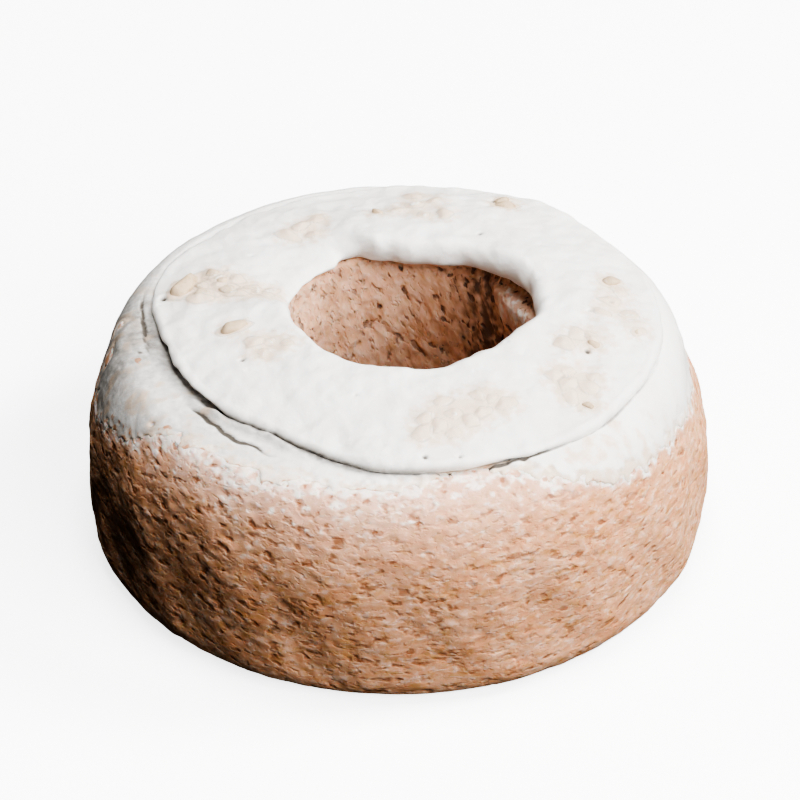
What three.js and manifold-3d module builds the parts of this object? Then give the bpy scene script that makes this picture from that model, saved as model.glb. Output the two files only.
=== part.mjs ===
// A ring-shaped carrot cake: a crumbly baked ring, a thin icing coat smeared over its shoulder,
// and a thick icing cap on top with chopped nuts set in it.
// Millimetres, +Z up. The origin is on the surface that the cake stands on, on the axis of its outer wall.
// Angles run from +X towards +Y, so the front of the cake, at -Y, is at 270 degrees.
import * as THREE from "three";
import { mergeVertices } from "three/addons/utils/BufferGeometryUtils.js";
import Module from "manifold-3d";

const wasm = await Module();
wasm.setup();

// Baked ring: its outer wall, rounded foot, long rounded shoulder and flat top.
const WALL_RADIUS = 110;
const FOOT_RADIUS = 103.5;
const FOOT_ROUND_HEIGHT = 9.5;
const SHOULDER_START = 34;
const CAKE_TOP = 77;
const TOP_RADIUS = 91.5;

// Where the wall leaves its round plan: a broad swell low on the right, and two hollows of the shoulder
// at the back. Each has the height of its middle and how far it reaches above and below that, and all
// die away just below the cake's top.
const WALL_SWELLS = [
  { angle: 352, halfWidth: 32, power: 4, depth: 1.8, height: 26, reach: 24 },
  { angle: 22, halfWidth: 42, power: 4, depth: -3, height: 61, reach: 16 },
  { angle: 158, halfWidth: 30, power: 4, depth: -2, height: 61, reach: 16 },
];
const WALL_SWELL_FADE = 12;

// Hole through the ring, a little off the axis of the outer wall and a little wider at its top, with
// a ledge of crumb that leans into it at the back right.
const HOLE_TOP_RADIUS = 46;
const HOLE_FOOT_RADIUS = 44;
const HOLE_EDGE_ROUND = 2;
const HOLE_SHIFT = new THREE.Vector3(5.8, 5.1, 0);
const LEDGE = { angle: 27, halfWidth: 20, power: 6, depth: 5, foot: 46, crest: 70 };

// Icing cap: an uneven ring that is thick round the hole and thin at its outer lip.
// Its crown is the control point of its top: a share of the way out, and a drop below the rim.
const GAP = 0.3;
const CAP_BOTTOM = CAKE_TOP + GAP;
const CAP_RADIUS = 93.5;
const CAP_HOLE_RADIUS = 43;
const CAP_RIM_TOP = 88.2;
const CAP_LIP_TOP = 82;
const CAP_CROWN = { share: 0.45, drop: 0.8 };
const RIM_ROUND = 5;
const LIP_ROUND = 3;

// Where the cap leaves its round plan: a cut-back stretch of lip at the front left, shallower trims
// along the front and the back left, a back left lip that slumps, a ramp that slides down into the
// hole at the back left, and bulges into the hole, with a notch beside the ramp.
const CUT_BACK = { angle: 213.6, halfWidth: 43, power: 4, depth: 12 };
const FRONT_TRIM = { angle: 268.5, halfWidth: 55, power: 2, depth: 8.3 };
const BACK_TRIM = { angle: 128, halfWidth: 46, power: 4, depth: 2.4 };
const BACK_SLUMP = { angle: 128, halfWidth: 44, power: 4, depth: 3.4 };
const RAMP = { angle: 146, halfWidth: 31, power: 6, depth: 0.7, setBack: 1.5, falloff: 1.5 };
const RIM_BULGES = [
  { angle: 322, halfWidth: 22, power: 4, depth: 5 },
  { angle: 298, halfWidth: 12, power: 4, depth: 2 },
  { angle: 268, halfWidth: 34, power: 4, depth: 3.4 },
  { angle: 214, halfWidth: 20, power: 4, depth: 2.2 },
  { angle: 120, halfWidth: 8, power: 4, depth: -3.5 },
  { angle: 83, halfWidth: 16, power: 4, depth: 4 },
  { angle: 80, halfWidth: 42, power: 4, depth: 5 },
];

// Icing coat: a thin smear from the cap's lip down the shoulder, short at the front and long elsewhere.
const COAT_GAP = 0.45;
const COAT_TOP_THICKNESS = 1.5;
const COAT_EDGE_THICKNESS = 0.6;
const COAT_REACH = 26;
const COAT_SHORT = { angle: 256, halfWidth: 56, power: 6, depth: 19 };

// Unevenness, each kind a sum of waves: how far they reach, how many waves the first has round the
// ring and how many more each next one has, their slant in radians per millimetre, and a salt.
const LUMPS = { reach: 0.7, first: 1, step: 2, slant: 0.03, salt: 1 };
const CRAGS = { reach: 0.85, first: 9, step: 7, slant: 0.06, salt: 5 };
const LIP_WOBBLE = { reach: 0.6, first: 3, step: 4, slant: 0, salt: 2 };
const KNIFE_MARKS = { reach: 0.55, first: 2, step: 3, slant: 0.11, salt: 4 };
const COAT_TATTERS = { reach: 1.6, first: 4, step: 5, slant: 0, salt: 7 };
const WAVE_COUNT = 4;
const WAVE_PEAK = 1.6;

// Knife marks begin this share of the lip's round above the cap's underside.
const KNIFE_CLEARANCE = 0.6;

// Chopped nuts: groups by the angle and radius of their middle on the cap, the spread of the group,
// the count of its pieces, and half the length of a typical piece.
const NUT_GROUPS = [
  { angle: 165, radius: 86, spread: 0, count: 1, size: 6.2 },
  { angle: 166, radius: 65, spread: 9, count: 6, size: 3.8 },
  { angle: 168, radius: 52, spread: 4, count: 3, size: 3.2 },
  { angle: 191.8, radius: 67, spread: 0, count: 1, size: 4.2 },
  { angle: 209, radius: 60, spread: 8, count: 4, size: 3.0 },
  { angle: 281, radius: 73, spread: 11, count: 7, size: 3.4 },
  { angle: 297, radius: 71, spread: 7, count: 4, size: 3.2 },
  { angle: 324, radius: 76, spread: 9, count: 6, size: 3.4 },
  { angle: 341, radius: 64, spread: 7, count: 3, size: 3.4 },
  { angle: 3, radius: 76, spread: 11, count: 4, size: 3.2 },
  { angle: 62, radius: 81, spread: 3, count: 2, size: 4.6 },
  { angle: 84, radius: 71, spread: 12, count: 6, size: 3.2 },
  { angle: 122, radius: 65, spread: 9, count: 4, size: 3.4 },
  { angle: 14, radius: 76, spread: 0, count: 1, size: 3.4 },
  { angle: 352.5, radius: 84, spread: 0, count: 1, size: 3.4 },
  { angle: 339, radius: 68, spread: 0, count: 1, size: 2.6 },
  { angle: 320.6, radius: 86, spread: 0, count: 1, size: 2.4 },
  { angle: 99, radius: 67.3, spread: 0, count: 1, size: 2.6 },
];
const NUT_WIDTH_SHARE = 0.72;
const NUT_HEIGHT_SHARE = 0.56;
const NUT_SUNK_SHARE = 0.3;
const NUT_ROUGHNESS = 0.22;
const NUT_SIZE_SPREAD = { least: 0.75, most: 1.2, salt: 14 };
const NUT_WIDTH_SPREAD = { least: 0.8, most: 1.15, salt: 11 };
const NUT_HEIGHT_SPREAD = { least: 0.85, most: 1.15, salt: 12 };
const NUT_TURN_SPREAD = { least: 0, most: 2 * Math.PI, salt: 13 };
const NUT_HOLE_CLEARANCE = 8;

// Fineness of the meshes: steps round the ring, along each stretch of a profile, and down the coat.
const AROUND = 80;
const CAKE_STEPS = { base: 1, foot: 3, wall: 4, shoulder: 12, top: 1, edge: 2, hole: 11 };
const CAP_STEPS = { base: 1, lip: 5, top: 7, rim: 6 };
const COAT_STEPS = 9;
const NUT_HEIGHT_STEPS = 40;
const MERGE_DISTANCE = 1e-3;

const GOLDEN_ANGLE = Math.PI * (3 - Math.sqrt(5));
const HASH = { index: 12.9898, salt: 78.233, spread: 43758.5453 };
const { degToRad, clamp, lerp, smoothstep } = THREE.MathUtils;

const crumbMaterial = new THREE.MeshStandardMaterial({ color: 0xc08a63, roughness: 0.95, metalness: 0 });
const icingMaterial = new THREE.MeshStandardMaterial({ color: 0xf1ece3, roughness: 0.55, metalness: 0 });

// A repeatable number from 0 to 1 for a whole-number index and a salt.
function scatter(index, salt) {
  const wave = Math.sin(index * HASH.index + salt * HASH.salt) * HASH.spread;
  return wave - Math.floor(wave);
}

// A repeatable number within a spread, for a whole-number index.
const drawn = (spread, index) => lerp(spread.least, spread.most, scatter(index, spread.salt));

// 1 at the feature's middle angle, falling smoothly to 0 outside its half width.
function bell(angle, feature) {
  const turn = angle - degToRad(feature.angle);
  const off = Math.abs(Math.atan2(Math.sin(turn), Math.cos(turn)));
  return Math.exp(-((off / degToRad(feature.halfWidth)) ** feature.power));
}

// How deep a feature is at an angle.
const depthAt = (angle, feature) => feature.depth * bell(angle, feature);

// One kind of unevenness, between about -reach and reach: waves that run round the ring and slant
// with the second measure, each weaker than the one before.
function waves(angle, along, kind) {
  let sum = 0;
  for (let k = 1; k <= WAVE_COUNT; k++) {
    const slant = k % 2 ? kind.slant : -kind.slant;
    const turn = (kind.first + kind.step * k) * angle + slant * k * along;
    sum += Math.sin(turn + (kind.salt + k) * GOLDEN_ANGLE) / k;
  }
  return (kind.reach * sum) / WAVE_PEAK;
}

// How far the crumb stands out from the plain wall, dying away towards the cake's flat top and foot.
function crumbRelief(angle, height) {
  const belowTop = clamp((CAKE_TOP - height) / (CAKE_TOP - SHOULDER_START), 0, 1);
  const aboveFoot = clamp(height / FOOT_ROUND_HEIGHT, 0, 1);
  return belowTop * aboveFoot * (waves(angle, height, LUMPS) + waves(angle, height, CRAGS));
}

// How far the wall's swells and hollows move it out at an angle and a height.
function wallSwell(angle, height) {
  const fade = clamp((CAKE_TOP - height) / WALL_SWELL_FADE, 0, 1);
  const parts = WALL_SWELLS.map((swell) => {
    const away = (height - swell.height) / swell.reach;
    return depthAt(angle, swell) * Math.exp(-(away ** 2));
  });
  return fade * parts.reduce((a, b) => a + b);
}

// How far the ledge leans into the hole at an angle and a height.
function ledgeLean(angle, height) {
  const rise = smoothstep(height, LEDGE.foot, LEDGE.crest);
  return depthAt(angle, LEDGE) * rise * (1 - smoothstep(height, LEDGE.crest, CAKE_TOP));
}

const straight = (x0, z0, x1, z1, steps) =>
  new THREE.LineCurve(new THREE.Vector2(x0, z0), new THREE.Vector2(x1, z1)).getPoints(steps);
const arc = (x, z, rx, rz, from, to, steps) =>
  new THREE.EllipseCurve(x, z, rx, rz, degToRad(from), degToRad(to), to < from).getPoints(steps);

// Runs of profile points that meet end to end, as one run.
const joined = (...runs) => runs.flatMap((run, i) => (i ? run.slice(1) : run));

// The geometry with only its positions, shared vertices merged and the seam closed.
function closed(geometry) {
  geometry.deleteAttribute("normal");
  geometry.deleteAttribute("uv");
  return mergeVertices(geometry, MERGE_DISTANCE);
}

// The closed surface swept by a profile of (radius, height) points, with every point moved by
// place(radius, angle, height), which returns where it goes.
function sweep(profile, place) {
  const lathe = new THREE.LatheGeometry([...profile, profile[0]], AROUND).rotateX(Math.PI / 2);
  const points = lathe.getAttribute("position");
  const at = new THREE.Vector3();
  for (let i = 0; i < points.count; i++) {
    at.fromBufferAttribute(points, i);
    const moved = place(Math.hypot(at.x, at.y), Math.atan2(at.y, at.x), at.z);
    points.setXYZ(i, moved.x, moved.y, moved.z);
  }
  return closed(lathe);
}

const polar = (radius, angle, height) =>
  new THREE.Vector3(radius * Math.cos(angle), radius * Math.sin(angle), height);

// The share of the way out from the hole's foot to the edge of the cake's top.
const shareOut = (radius) => clamp((radius - HOLE_FOOT_RADIUS) / (TOP_RADIUS - HOLE_FOOT_RADIUS), 0, 1);

// Baked ring: the hole's side follows the shifted hole, and both sides carry the crumb's relief.
function placeCrumb(radius, angle, height) {
  const share = shareOut(radius);
  const relief = Math.sign(share - 0.5) * crumbRelief(angle, height);
  const moved = share * wallSwell(angle, height) - (1 - share) * ledgeLean(angle, height);
  return polar(radius + relief + moved, angle, height).addScaledVector(HOLE_SHIFT, 1 - share);
}

function cakeRing() {
  const footRound = WALL_RADIUS - FOOT_RADIUS;
  const shoulderDepth = WALL_RADIUS - TOP_RADIUS;
  const shoulderHeight = CAKE_TOP - SHOULDER_START;
  const edge = HOLE_EDGE_ROUND;
  const edgeX = HOLE_TOP_RADIUS + edge;
  const footX = HOLE_FOOT_RADIUS + edge;
  const profile = joined(
    straight(footX, 0, FOOT_RADIUS, 0, CAKE_STEPS.base),
    arc(FOOT_RADIUS, FOOT_ROUND_HEIGHT, footRound, FOOT_ROUND_HEIGHT, -90, 0, CAKE_STEPS.foot),
    straight(WALL_RADIUS, FOOT_ROUND_HEIGHT, WALL_RADIUS, SHOULDER_START, CAKE_STEPS.wall),
    arc(TOP_RADIUS, SHOULDER_START, shoulderDepth, shoulderHeight, 0, 90, CAKE_STEPS.shoulder),
    straight(TOP_RADIUS, CAKE_TOP, edgeX, CAKE_TOP, CAKE_STEPS.top),
    arc(edgeX, CAKE_TOP - edge, edge, edge, 90, 180, CAKE_STEPS.edge),
    straight(HOLE_TOP_RADIUS, CAKE_TOP - edge, HOLE_FOOT_RADIUS, edge, CAKE_STEPS.hole),
    straight(HOLE_FOOT_RADIUS, edge, footX, 0, 1),
  );
  return sweep(profile.slice(0, -1), placeCrumb);
}

// The outer edge of the cap at an angle, as a change from its round radius.
function capEdge(angle) {
  const cut = depthAt(angle, CUT_BACK) + depthAt(angle, FRONT_TRIM) + depthAt(angle, BACK_TRIM);
  return waves(angle, 0, LIP_WOBBLE) - cut;
}

// The plain cap's top surface, from the rim round the hole to the outer lip.
const capTop = new THREE.QuadraticBezierCurve(
  new THREE.Vector2(CAP_HOLE_RADIUS + RIM_ROUND, CAP_RIM_TOP),
  new THREE.Vector2(lerp(CAP_HOLE_RADIUS, CAP_RADIUS, CAP_CROWN.share), CAP_RIM_TOP - CAP_CROWN.drop),
  new THREE.Vector2(CAP_RADIUS - LIP_ROUND, CAP_LIP_TOP),
);

// Icing cap: its plan is stretched between the shifted hole and the uneven outer edge.
function placeCap(radius, angle, height) {
  const share = clamp((radius - CAP_HOLE_RADIUS) / (CAP_RADIUS - CAP_HOLE_RADIUS), 0, 1);
  const nearHole = 1 - share;
  const ramp = bell(angle, RAMP);
  const above = height - CAP_BOTTOM;
  const knife = waves(angle, radius, KNIFE_MARKS) * clamp(above / LIP_ROUND - KNIFE_CLEARANCE, 0, 1);
  const bulge = RIM_BULGES.map((feature) => depthAt(angle, feature)).reduce((a, b) => a + b);
  const inward = bulge - RAMP.setBack * ramp;
  const slump = (depthAt(angle, BACK_SLUMP) * share ** 2) / (CAP_LIP_TOP - CAP_BOTTOM);
  const lowered = 1 - RAMP.depth * ramp * nearHole ** RAMP.falloff - slump;
  const at = polar(
    radius - nearHole * inward + share * capEdge(angle),
    angle,
    CAP_BOTTOM + above * lowered + knife,
  );
  return at.addScaledVector(HOLE_SHIFT, nearHole);
}

function capRing() {
  const rimMiddle = (CAP_RIM_TOP + CAP_BOTTOM) / 2;
  const lipMiddle = (CAP_LIP_TOP + CAP_BOTTOM) / 2;
  const rimX = CAP_HOLE_RADIUS + RIM_ROUND;
  const lipX = CAP_RADIUS - LIP_ROUND;
  const profile = joined(
    straight(rimX, CAP_BOTTOM, lipX, CAP_BOTTOM, CAP_STEPS.base),
    arc(lipX, lipMiddle, LIP_ROUND, CAP_LIP_TOP - lipMiddle, -90, 90, CAP_STEPS.lip),
    capTop.getPoints(CAP_STEPS.top).reverse(),
    arc(rimX, rimMiddle, RIM_ROUND, CAP_RIM_TOP - rimMiddle, 90, 270, CAP_STEPS.rim),
  );
  return sweep(profile.slice(0, -1), placeCap);
}

// One rough-sided nut chunk, about as long as twice its size, turned by its own angle.
function nutChunk(size, index) {
  const chunk = closed(new THREE.IcosahedronGeometry(1, 0));
  const points = chunk.getAttribute("position");
  for (let i = 0; i < points.count; i++) {
    const out = 1 + NUT_ROUGHNESS * (2 * scatter(i + 1, index) - 1);
    points.setXYZ(i, points.getX(i) * out, points.getY(i) * out, points.getZ(i) * out);
  }
  const width = size * NUT_WIDTH_SHARE * drawn(NUT_WIDTH_SPREAD, index);
  const height = size * NUT_HEIGHT_SHARE * drawn(NUT_HEIGHT_SPREAD, index);
  return chunk.scale(size, width, height).rotateZ(drawn(NUT_TURN_SPREAD, index));
}

// The height of the plain cap's top at a radius.
function capTopAt(radius) {
  const run = capTop.getPoints(NUT_HEIGHT_STEPS);
  return run.reduce((a, b) => (Math.abs(b.x - radius) < Math.abs(a.x - radius) ? b : a)).y;
}

// Every nut chunk, set partly into the cap's top and no deeper than its underside. Within a group
// they lie in a sunflower pattern.
function nutChunks() {
  const chunks = [];
  for (const group of NUT_GROUPS) {
    const middle = polar(group.radius, degToRad(group.angle), 0);
    for (let i = 0; i < group.count; i++) {
      const index = chunks.length + 1;
      const size = group.size * drawn(NUT_SIZE_SPREAD, index);
      const out = group.spread * Math.sqrt((i + 0.5) / group.count);
      const spot = polar(out, i * GOLDEN_ANGLE + group.angle, 0).add(middle);
      const least = CAP_HOLE_RADIUS + NUT_HOLE_CLEARANCE;
      const most = CAP_RADIUS - LIP_ROUND - size;
      const radius = clamp(Math.hypot(spot.x, spot.y), least, most);
      const at = placeCap(radius, Math.atan2(spot.y, spot.x), capTopAt(radius));
      const sunk = size * NUT_HEIGHT_SHARE * NUT_SUNK_SHARE;
      const chunk = nutChunk(size, index);
      chunk.computeBoundingBox();
      const height = Math.max(at.z - sunk, CAP_BOTTOM - chunk.boundingBox.min.z);
      chunks.push(chunk.translate(at.x, at.y, height));
    }
  }
  return chunks;
}

const solidOf = (geometry) =>
  new wasm.Manifold(
    new wasm.Mesh({
      numProp: 3,
      vertProperties: new Float32Array(geometry.getAttribute("position").array),
      triVerts: new Uint32Array(geometry.index.array),
    }),
  );

function geometryOf(solid) {
  const mesh = solid.getMesh();
  return new THREE.BufferGeometry()
    .setAttribute("position", new THREE.BufferAttribute(mesh.vertProperties, 3))
    .setIndex(new THREE.BufferAttribute(mesh.triVerts, 1));
}

function icingCap() {
  const joinedCap = nutChunks().reduce((cap, nut) => cap.add(solidOf(nut)), solidOf(capRing()));
  return geometryOf(joinedCap);
}

// The cake's outer skin as one path of (radius, height): part of the flat top, then the shoulder.
const SKIN_SPARE = 2;
const SKIN_START = CAP_RADIUS - CUT_BACK.depth - FRONT_TRIM.depth - SKIN_SPARE;
const skin = new THREE.CurvePath();
skin.add(
  new THREE.LineCurve(
    new THREE.Vector2(SKIN_START, CAKE_TOP),
    new THREE.Vector2(TOP_RADIUS, CAKE_TOP),
  ),
);
skin.add(
  new THREE.EllipseCurve(
    TOP_RADIUS,
    SHOULDER_START,
    WALL_RADIUS - TOP_RADIUS,
    CAKE_TOP - SHOULDER_START,
    Math.PI / 2,
    0,
    true,
  ),
);

// Icing coat: across is 0 at the cap's lip and 1 at the coat's lower edge, and outer is 0 on the
// side against the cake and 1 on the outside.
function placeCoat(across, angle, outer) {
  const start = CAP_RADIUS + capEdge(angle) + GAP - SKIN_START;
  const shorter = depthAt(angle, COAT_SHORT);
  const end = TOP_RADIUS - SKIN_START + COAT_REACH - shorter + waves(angle, 0, COAT_TATTERS);
  const along = lerp(start, end, across) / skin.getLength();
  const on = skin.getPoint(along);
  const way = skin.getTangent(along);
  const out = COAT_GAP + outer * lerp(COAT_TOP_THICKNESS, COAT_EDGE_THICKNESS, across);
  const moved = crumbRelief(angle, on.y) + shareOut(on.x) * wallSwell(angle, on.y);
  return polar(on.x - way.y * out + moved, angle, on.y + way.x * out);
}

// The coat's section is a unit square, one unit clear of the axis, that placeCoat lays on the cake.
function icingCoat() {
  const profile = joined(
    straight(1, 0, 2, 0, COAT_STEPS),
    straight(2, 0, 2, 1, 1),
    straight(2, 1, 1, 1, COAT_STEPS),
    straight(1, 1, 1, 0, 1),
  );
  return sweep(profile.slice(0, -1), (radius, angle, outer) => placeCoat(radius - 1, angle, outer));
}

function node(name, geometry, material) {
  const mesh = new THREE.Mesh(geometry, material);
  mesh.name = name;
  return mesh;
}

const cake = new THREE.Group();
cake.add(node("cake_ring", cakeRing(), crumbMaterial));
cake.add(node("icing_coat", icingCoat(), icingMaterial));
cake.add(node("icing_cap", icingCap(), icingMaterial));

export default cake;
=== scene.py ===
"""Looks of a ring-shaped carrot cake: crumb ring, icing coat, icing cap and chopped nuts.

Shapes are worked out in millimetres and put into Blender in metres. Angles run from +X towards +Y,
so the front of the cake, at -Y, is at 270 degrees.
"""

import itertools
import logging
import math
from dataclasses import dataclass, field
from enum import Enum, IntEnum
from typing import Any, ClassVar

import bpy
import numpy as np
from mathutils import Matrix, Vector

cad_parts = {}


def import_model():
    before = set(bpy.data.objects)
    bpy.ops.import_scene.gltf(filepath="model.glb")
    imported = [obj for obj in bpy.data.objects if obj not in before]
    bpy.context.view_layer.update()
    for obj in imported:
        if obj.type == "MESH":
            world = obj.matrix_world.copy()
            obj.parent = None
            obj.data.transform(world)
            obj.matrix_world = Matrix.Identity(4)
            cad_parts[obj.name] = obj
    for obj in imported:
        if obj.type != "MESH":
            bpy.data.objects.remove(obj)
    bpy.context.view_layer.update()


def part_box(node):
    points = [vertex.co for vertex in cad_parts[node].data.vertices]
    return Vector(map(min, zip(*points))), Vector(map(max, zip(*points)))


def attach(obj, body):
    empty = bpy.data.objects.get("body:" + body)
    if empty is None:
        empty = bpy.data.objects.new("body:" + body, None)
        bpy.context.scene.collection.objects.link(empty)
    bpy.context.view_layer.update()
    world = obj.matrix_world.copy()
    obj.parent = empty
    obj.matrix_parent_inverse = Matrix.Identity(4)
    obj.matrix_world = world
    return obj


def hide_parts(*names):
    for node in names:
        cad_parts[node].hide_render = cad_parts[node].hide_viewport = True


Array = np.ndarray
Pair = tuple[float, float]
Triple = tuple[float, float, float]
Colour = tuple[float, float, float]

MM = 0.001
BODY = "root"
GOLDEN_ANGLE = math.pi * (3 - math.sqrt(5))
NOISE_MIDDLE = 0.5

log = logging.getLogger("carrot_cake")


class Slot(Enum):
    """The record's material slots."""

    CRUMB = "crumb"
    ICING = "icing"


class Node(Enum):
    """The solids that the pieces stand for."""

    CAKE_RING = "cake_ring"
    ICING_COAT = "icing_coat"
    ICING_CAP = "icing_cap"


class Draw(IntEnum):
    """What is drawn for each chopped nut, and the salt of its draw."""

    WIDTH = 11
    HEIGHT = 12
    YAW = 13
    SIZE = 14
    PLANE_LIFT = 91
    PLANE_SPIN = 92
    PLANE_DISTANCE = 93


def smooth(low: float, high: float, value: Array) -> Array:
    """Rise smoothly from 0 at low to 1 at high: share² (3 - 2 share)."""
    share = np.clip((value - low) / (high - low), 0, 1)
    return share * share * (3 - 2 * share)


def hump(value: Any, middle: Any, reach: Any) -> Any:
    """Fall smoothly from 1 at the middle to 0 well past the reach: exp(-(offset / reach)²)."""
    return np.exp(-(((value - middle) / reach) ** 2))


def mixed(low: Any, high: Any, share: Any) -> Any:
    """Go from low at share 0 to high at share 1."""
    return low + (high - low) * share


def polar(radius: Array, angle: Array, height: Array) -> Array:
    """Turn radius, angle and height into rows of x, y and z."""
    radius, angle, height = np.broadcast_arrays(radius, angle, height)
    return np.stack([radius * np.cos(angle), radius * np.sin(angle), height], axis=-1)


def round_ring(columns: int) -> Array:
    """Give evenly spaced angles round a ring, in radians."""
    return np.arange(columns) * (2 * math.pi / columns)


def turn_from(degrees: float, angle: Array) -> Array:
    """Give the turn from a direction to angles in radians, within half a turn either way."""
    turn = angle - math.radians(degrees)
    return np.arctan2(np.sin(turn), np.cos(turn))


class Grain:
    """Repeatable unevenness, drawn on a lattice of whole numbers in space."""

    PRIMES: ClassVar[Array] = np.array([374761393, 668265263, 2246822519], dtype=np.uint32)
    SALT_PRIME: ClassVar[int] = 2654435761
    STIRS: ClassVar[tuple[tuple[int, int], ...]] = ((15, 2246822519), (13, 3266489917))
    LAST_SHIFT: ClassVar[int] = 16
    WORD: ClassVar[int] = 2**32
    TURN: ClassVar[Array] = np.array([[0.36, 0.48, -0.8], [-0.8, 0.6, 0.0], [0.48, 0.64, 0.6]])

    @classmethod
    def draw(cls, cells: Array, salt: int) -> Array:
        """Hash lattice cells to numbers from 0 to 1.

        Args:
            cells: rows of three whole numbers.
            salt: a whole number that gives another set of draws.

        Returns:
            One number for each row.
        """
        words = cells.astype(np.int64).astype(np.uint32) * cls.PRIMES
        word = words.sum(axis=-1, dtype=np.uint32) + np.uint32(salt * cls.SALT_PRIME % cls.WORD)
        for shift, factor in cls.STIRS:
            word = (word ^ (word >> np.uint32(shift))) * np.uint32(factor)
        return (word ^ (word >> np.uint32(cls.LAST_SHIFT))) / cls.WORD

    @classmethod
    def ripple(cls, points: Array, size: float, salt: int) -> Array:
        """Smooth swells from about -1 to 1: drawn lattice heights, blended by the smooth step.

        Args:
            points: rows of x, y and z.
            size: the lattice's spacing, about half of a swell's length.
            salt: picks the draw.

        Returns:
            One height for each row.
        """
        scaled = points @ cls.TURN / size
        low = np.floor(scaled)
        share = smooth(0, 1, scaled - low)
        total = np.zeros(len(points))
        for corner in itertools.product((0, 1), repeat=3):
            weight = np.where(corner, share, 1 - share).prod(axis=-1)
            total += weight * cls.draw(low + corner, salt)
        return 2 * total - 1

    @classmethod
    def sway(cls, points: Array, size: float, reach: float, salt: int) -> Array:
        """Shift points by up to reach along each axis, by three ripples of their own."""
        shifts = [cls.ripple(points, size, salt + k) for k in range(3)]
        return points + reach * np.stack(shifts, axis=-1)

    @classmethod
    def dimples(cls, points: Array, size: float, share: float, radii: Pair, salt: int) -> Array:
        """Scattered round dimples, the deepest counting where they meet.

        A lattice cell holds one dimple at a drawn place with a drawn radius r, or none. At a distance d
        from its middle it is (1 - d²/r²) deep, times r over the largest radius, and never below 0.

        Args:
            points: rows of x, y and z.
            size: the lattice's spacing.
            share: the share of cells that hold a dimple.
            radii: least and largest radius, in cells.
            salt: picks the draw.

        Returns:
            Depths from 0 to 1, one for each row.
        """
        scaled = points / size
        home = np.floor(scaled)
        deepest = np.zeros(len(points))
        for offset in itertools.product((-1, 0, 1), repeat=3):
            cell = home + offset
            place = cell + np.stack([cls.draw(cell, salt + k) for k in range(3)], axis=-1)
            radius = mixed(*radii, cls.draw(cell, salt + 3))
            there = cls.draw(cell, salt + 4) < share
            gap = np.linalg.norm(scaled - place, axis=-1) / radius
            deepest = np.maximum(deepest, there * (1 - gap * gap) * radius / radii[1])
        return deepest


@dataclass(frozen=True)
class Ripple:
    """One size of smooth unevenness: its lattice's spacing, its height and its draw."""

    size: float
    height: float
    salt: int

    def __call__(self, points: Array) -> Array:
        """Give the heights at rows of x, y and z."""
        return self.height * Grain.ripple(points, self.size, self.salt)


@dataclass(frozen=True)
class Dimples:
    """One size of scattered dimples: its lattice's spacing, share of cells, radii, depth and draw."""

    size: float
    share: float
    radii: Pair
    depth: float
    salt: int

    def __call__(self, points: Array) -> Array:
        """Give the depths at rows of x, y and z."""
        return self.depth * Grain.dimples(points, self.size, self.share, self.radii, self.salt)


@dataclass(frozen=True)
class Swell:
    """A feature at one angle: depth times exp(-(turn away / half width) to a power)."""

    angle: float
    half_width: float
    power: float
    depth: float

    def __call__(self, angle: Array) -> Array:
        """Give the feature's depth at each angle, in radians."""
        away = np.abs(turn_from(self.angle, angle))
        return self.depth * np.exp(-((away / math.radians(self.half_width)) ** self.power))


def summed(swells: tuple[Swell, ...], angle: Array) -> Array:
    """Add up the depths of several features at each angle."""
    return sum(swell(angle) for swell in swells)


@dataclass(frozen=True)
class Waves:
    """A sum of waves round the ring that slant with a second measure, each weaker than the last."""

    reach: float
    first: int
    step: int
    slant: float
    salt: int
    COUNT: ClassVar[int] = 4
    PEAK: ClassVar[float] = 1.6

    def __call__(self, angle: Array, along: Any = 0.0) -> Array:
        """Add up the waves: wave k is sin((first + step k) angle + slant k along + its phase) / k.

        Args:
            angle: angles in radians.
            along: the second measure, such as the height. Every other wave slants the other way.

        Returns:
            Heights between about -reach and reach.
        """
        total = 0.0
        for k in range(1, self.COUNT + 1):
            slant = self.slant if k % 2 else -self.slant
            turn = (self.first + self.step * k) * angle + slant * k * along
            total = total + np.sin(turn + (self.salt + k) * GOLDEN_ANGLE) / k
        return self.reach * total / self.PEAK


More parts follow.
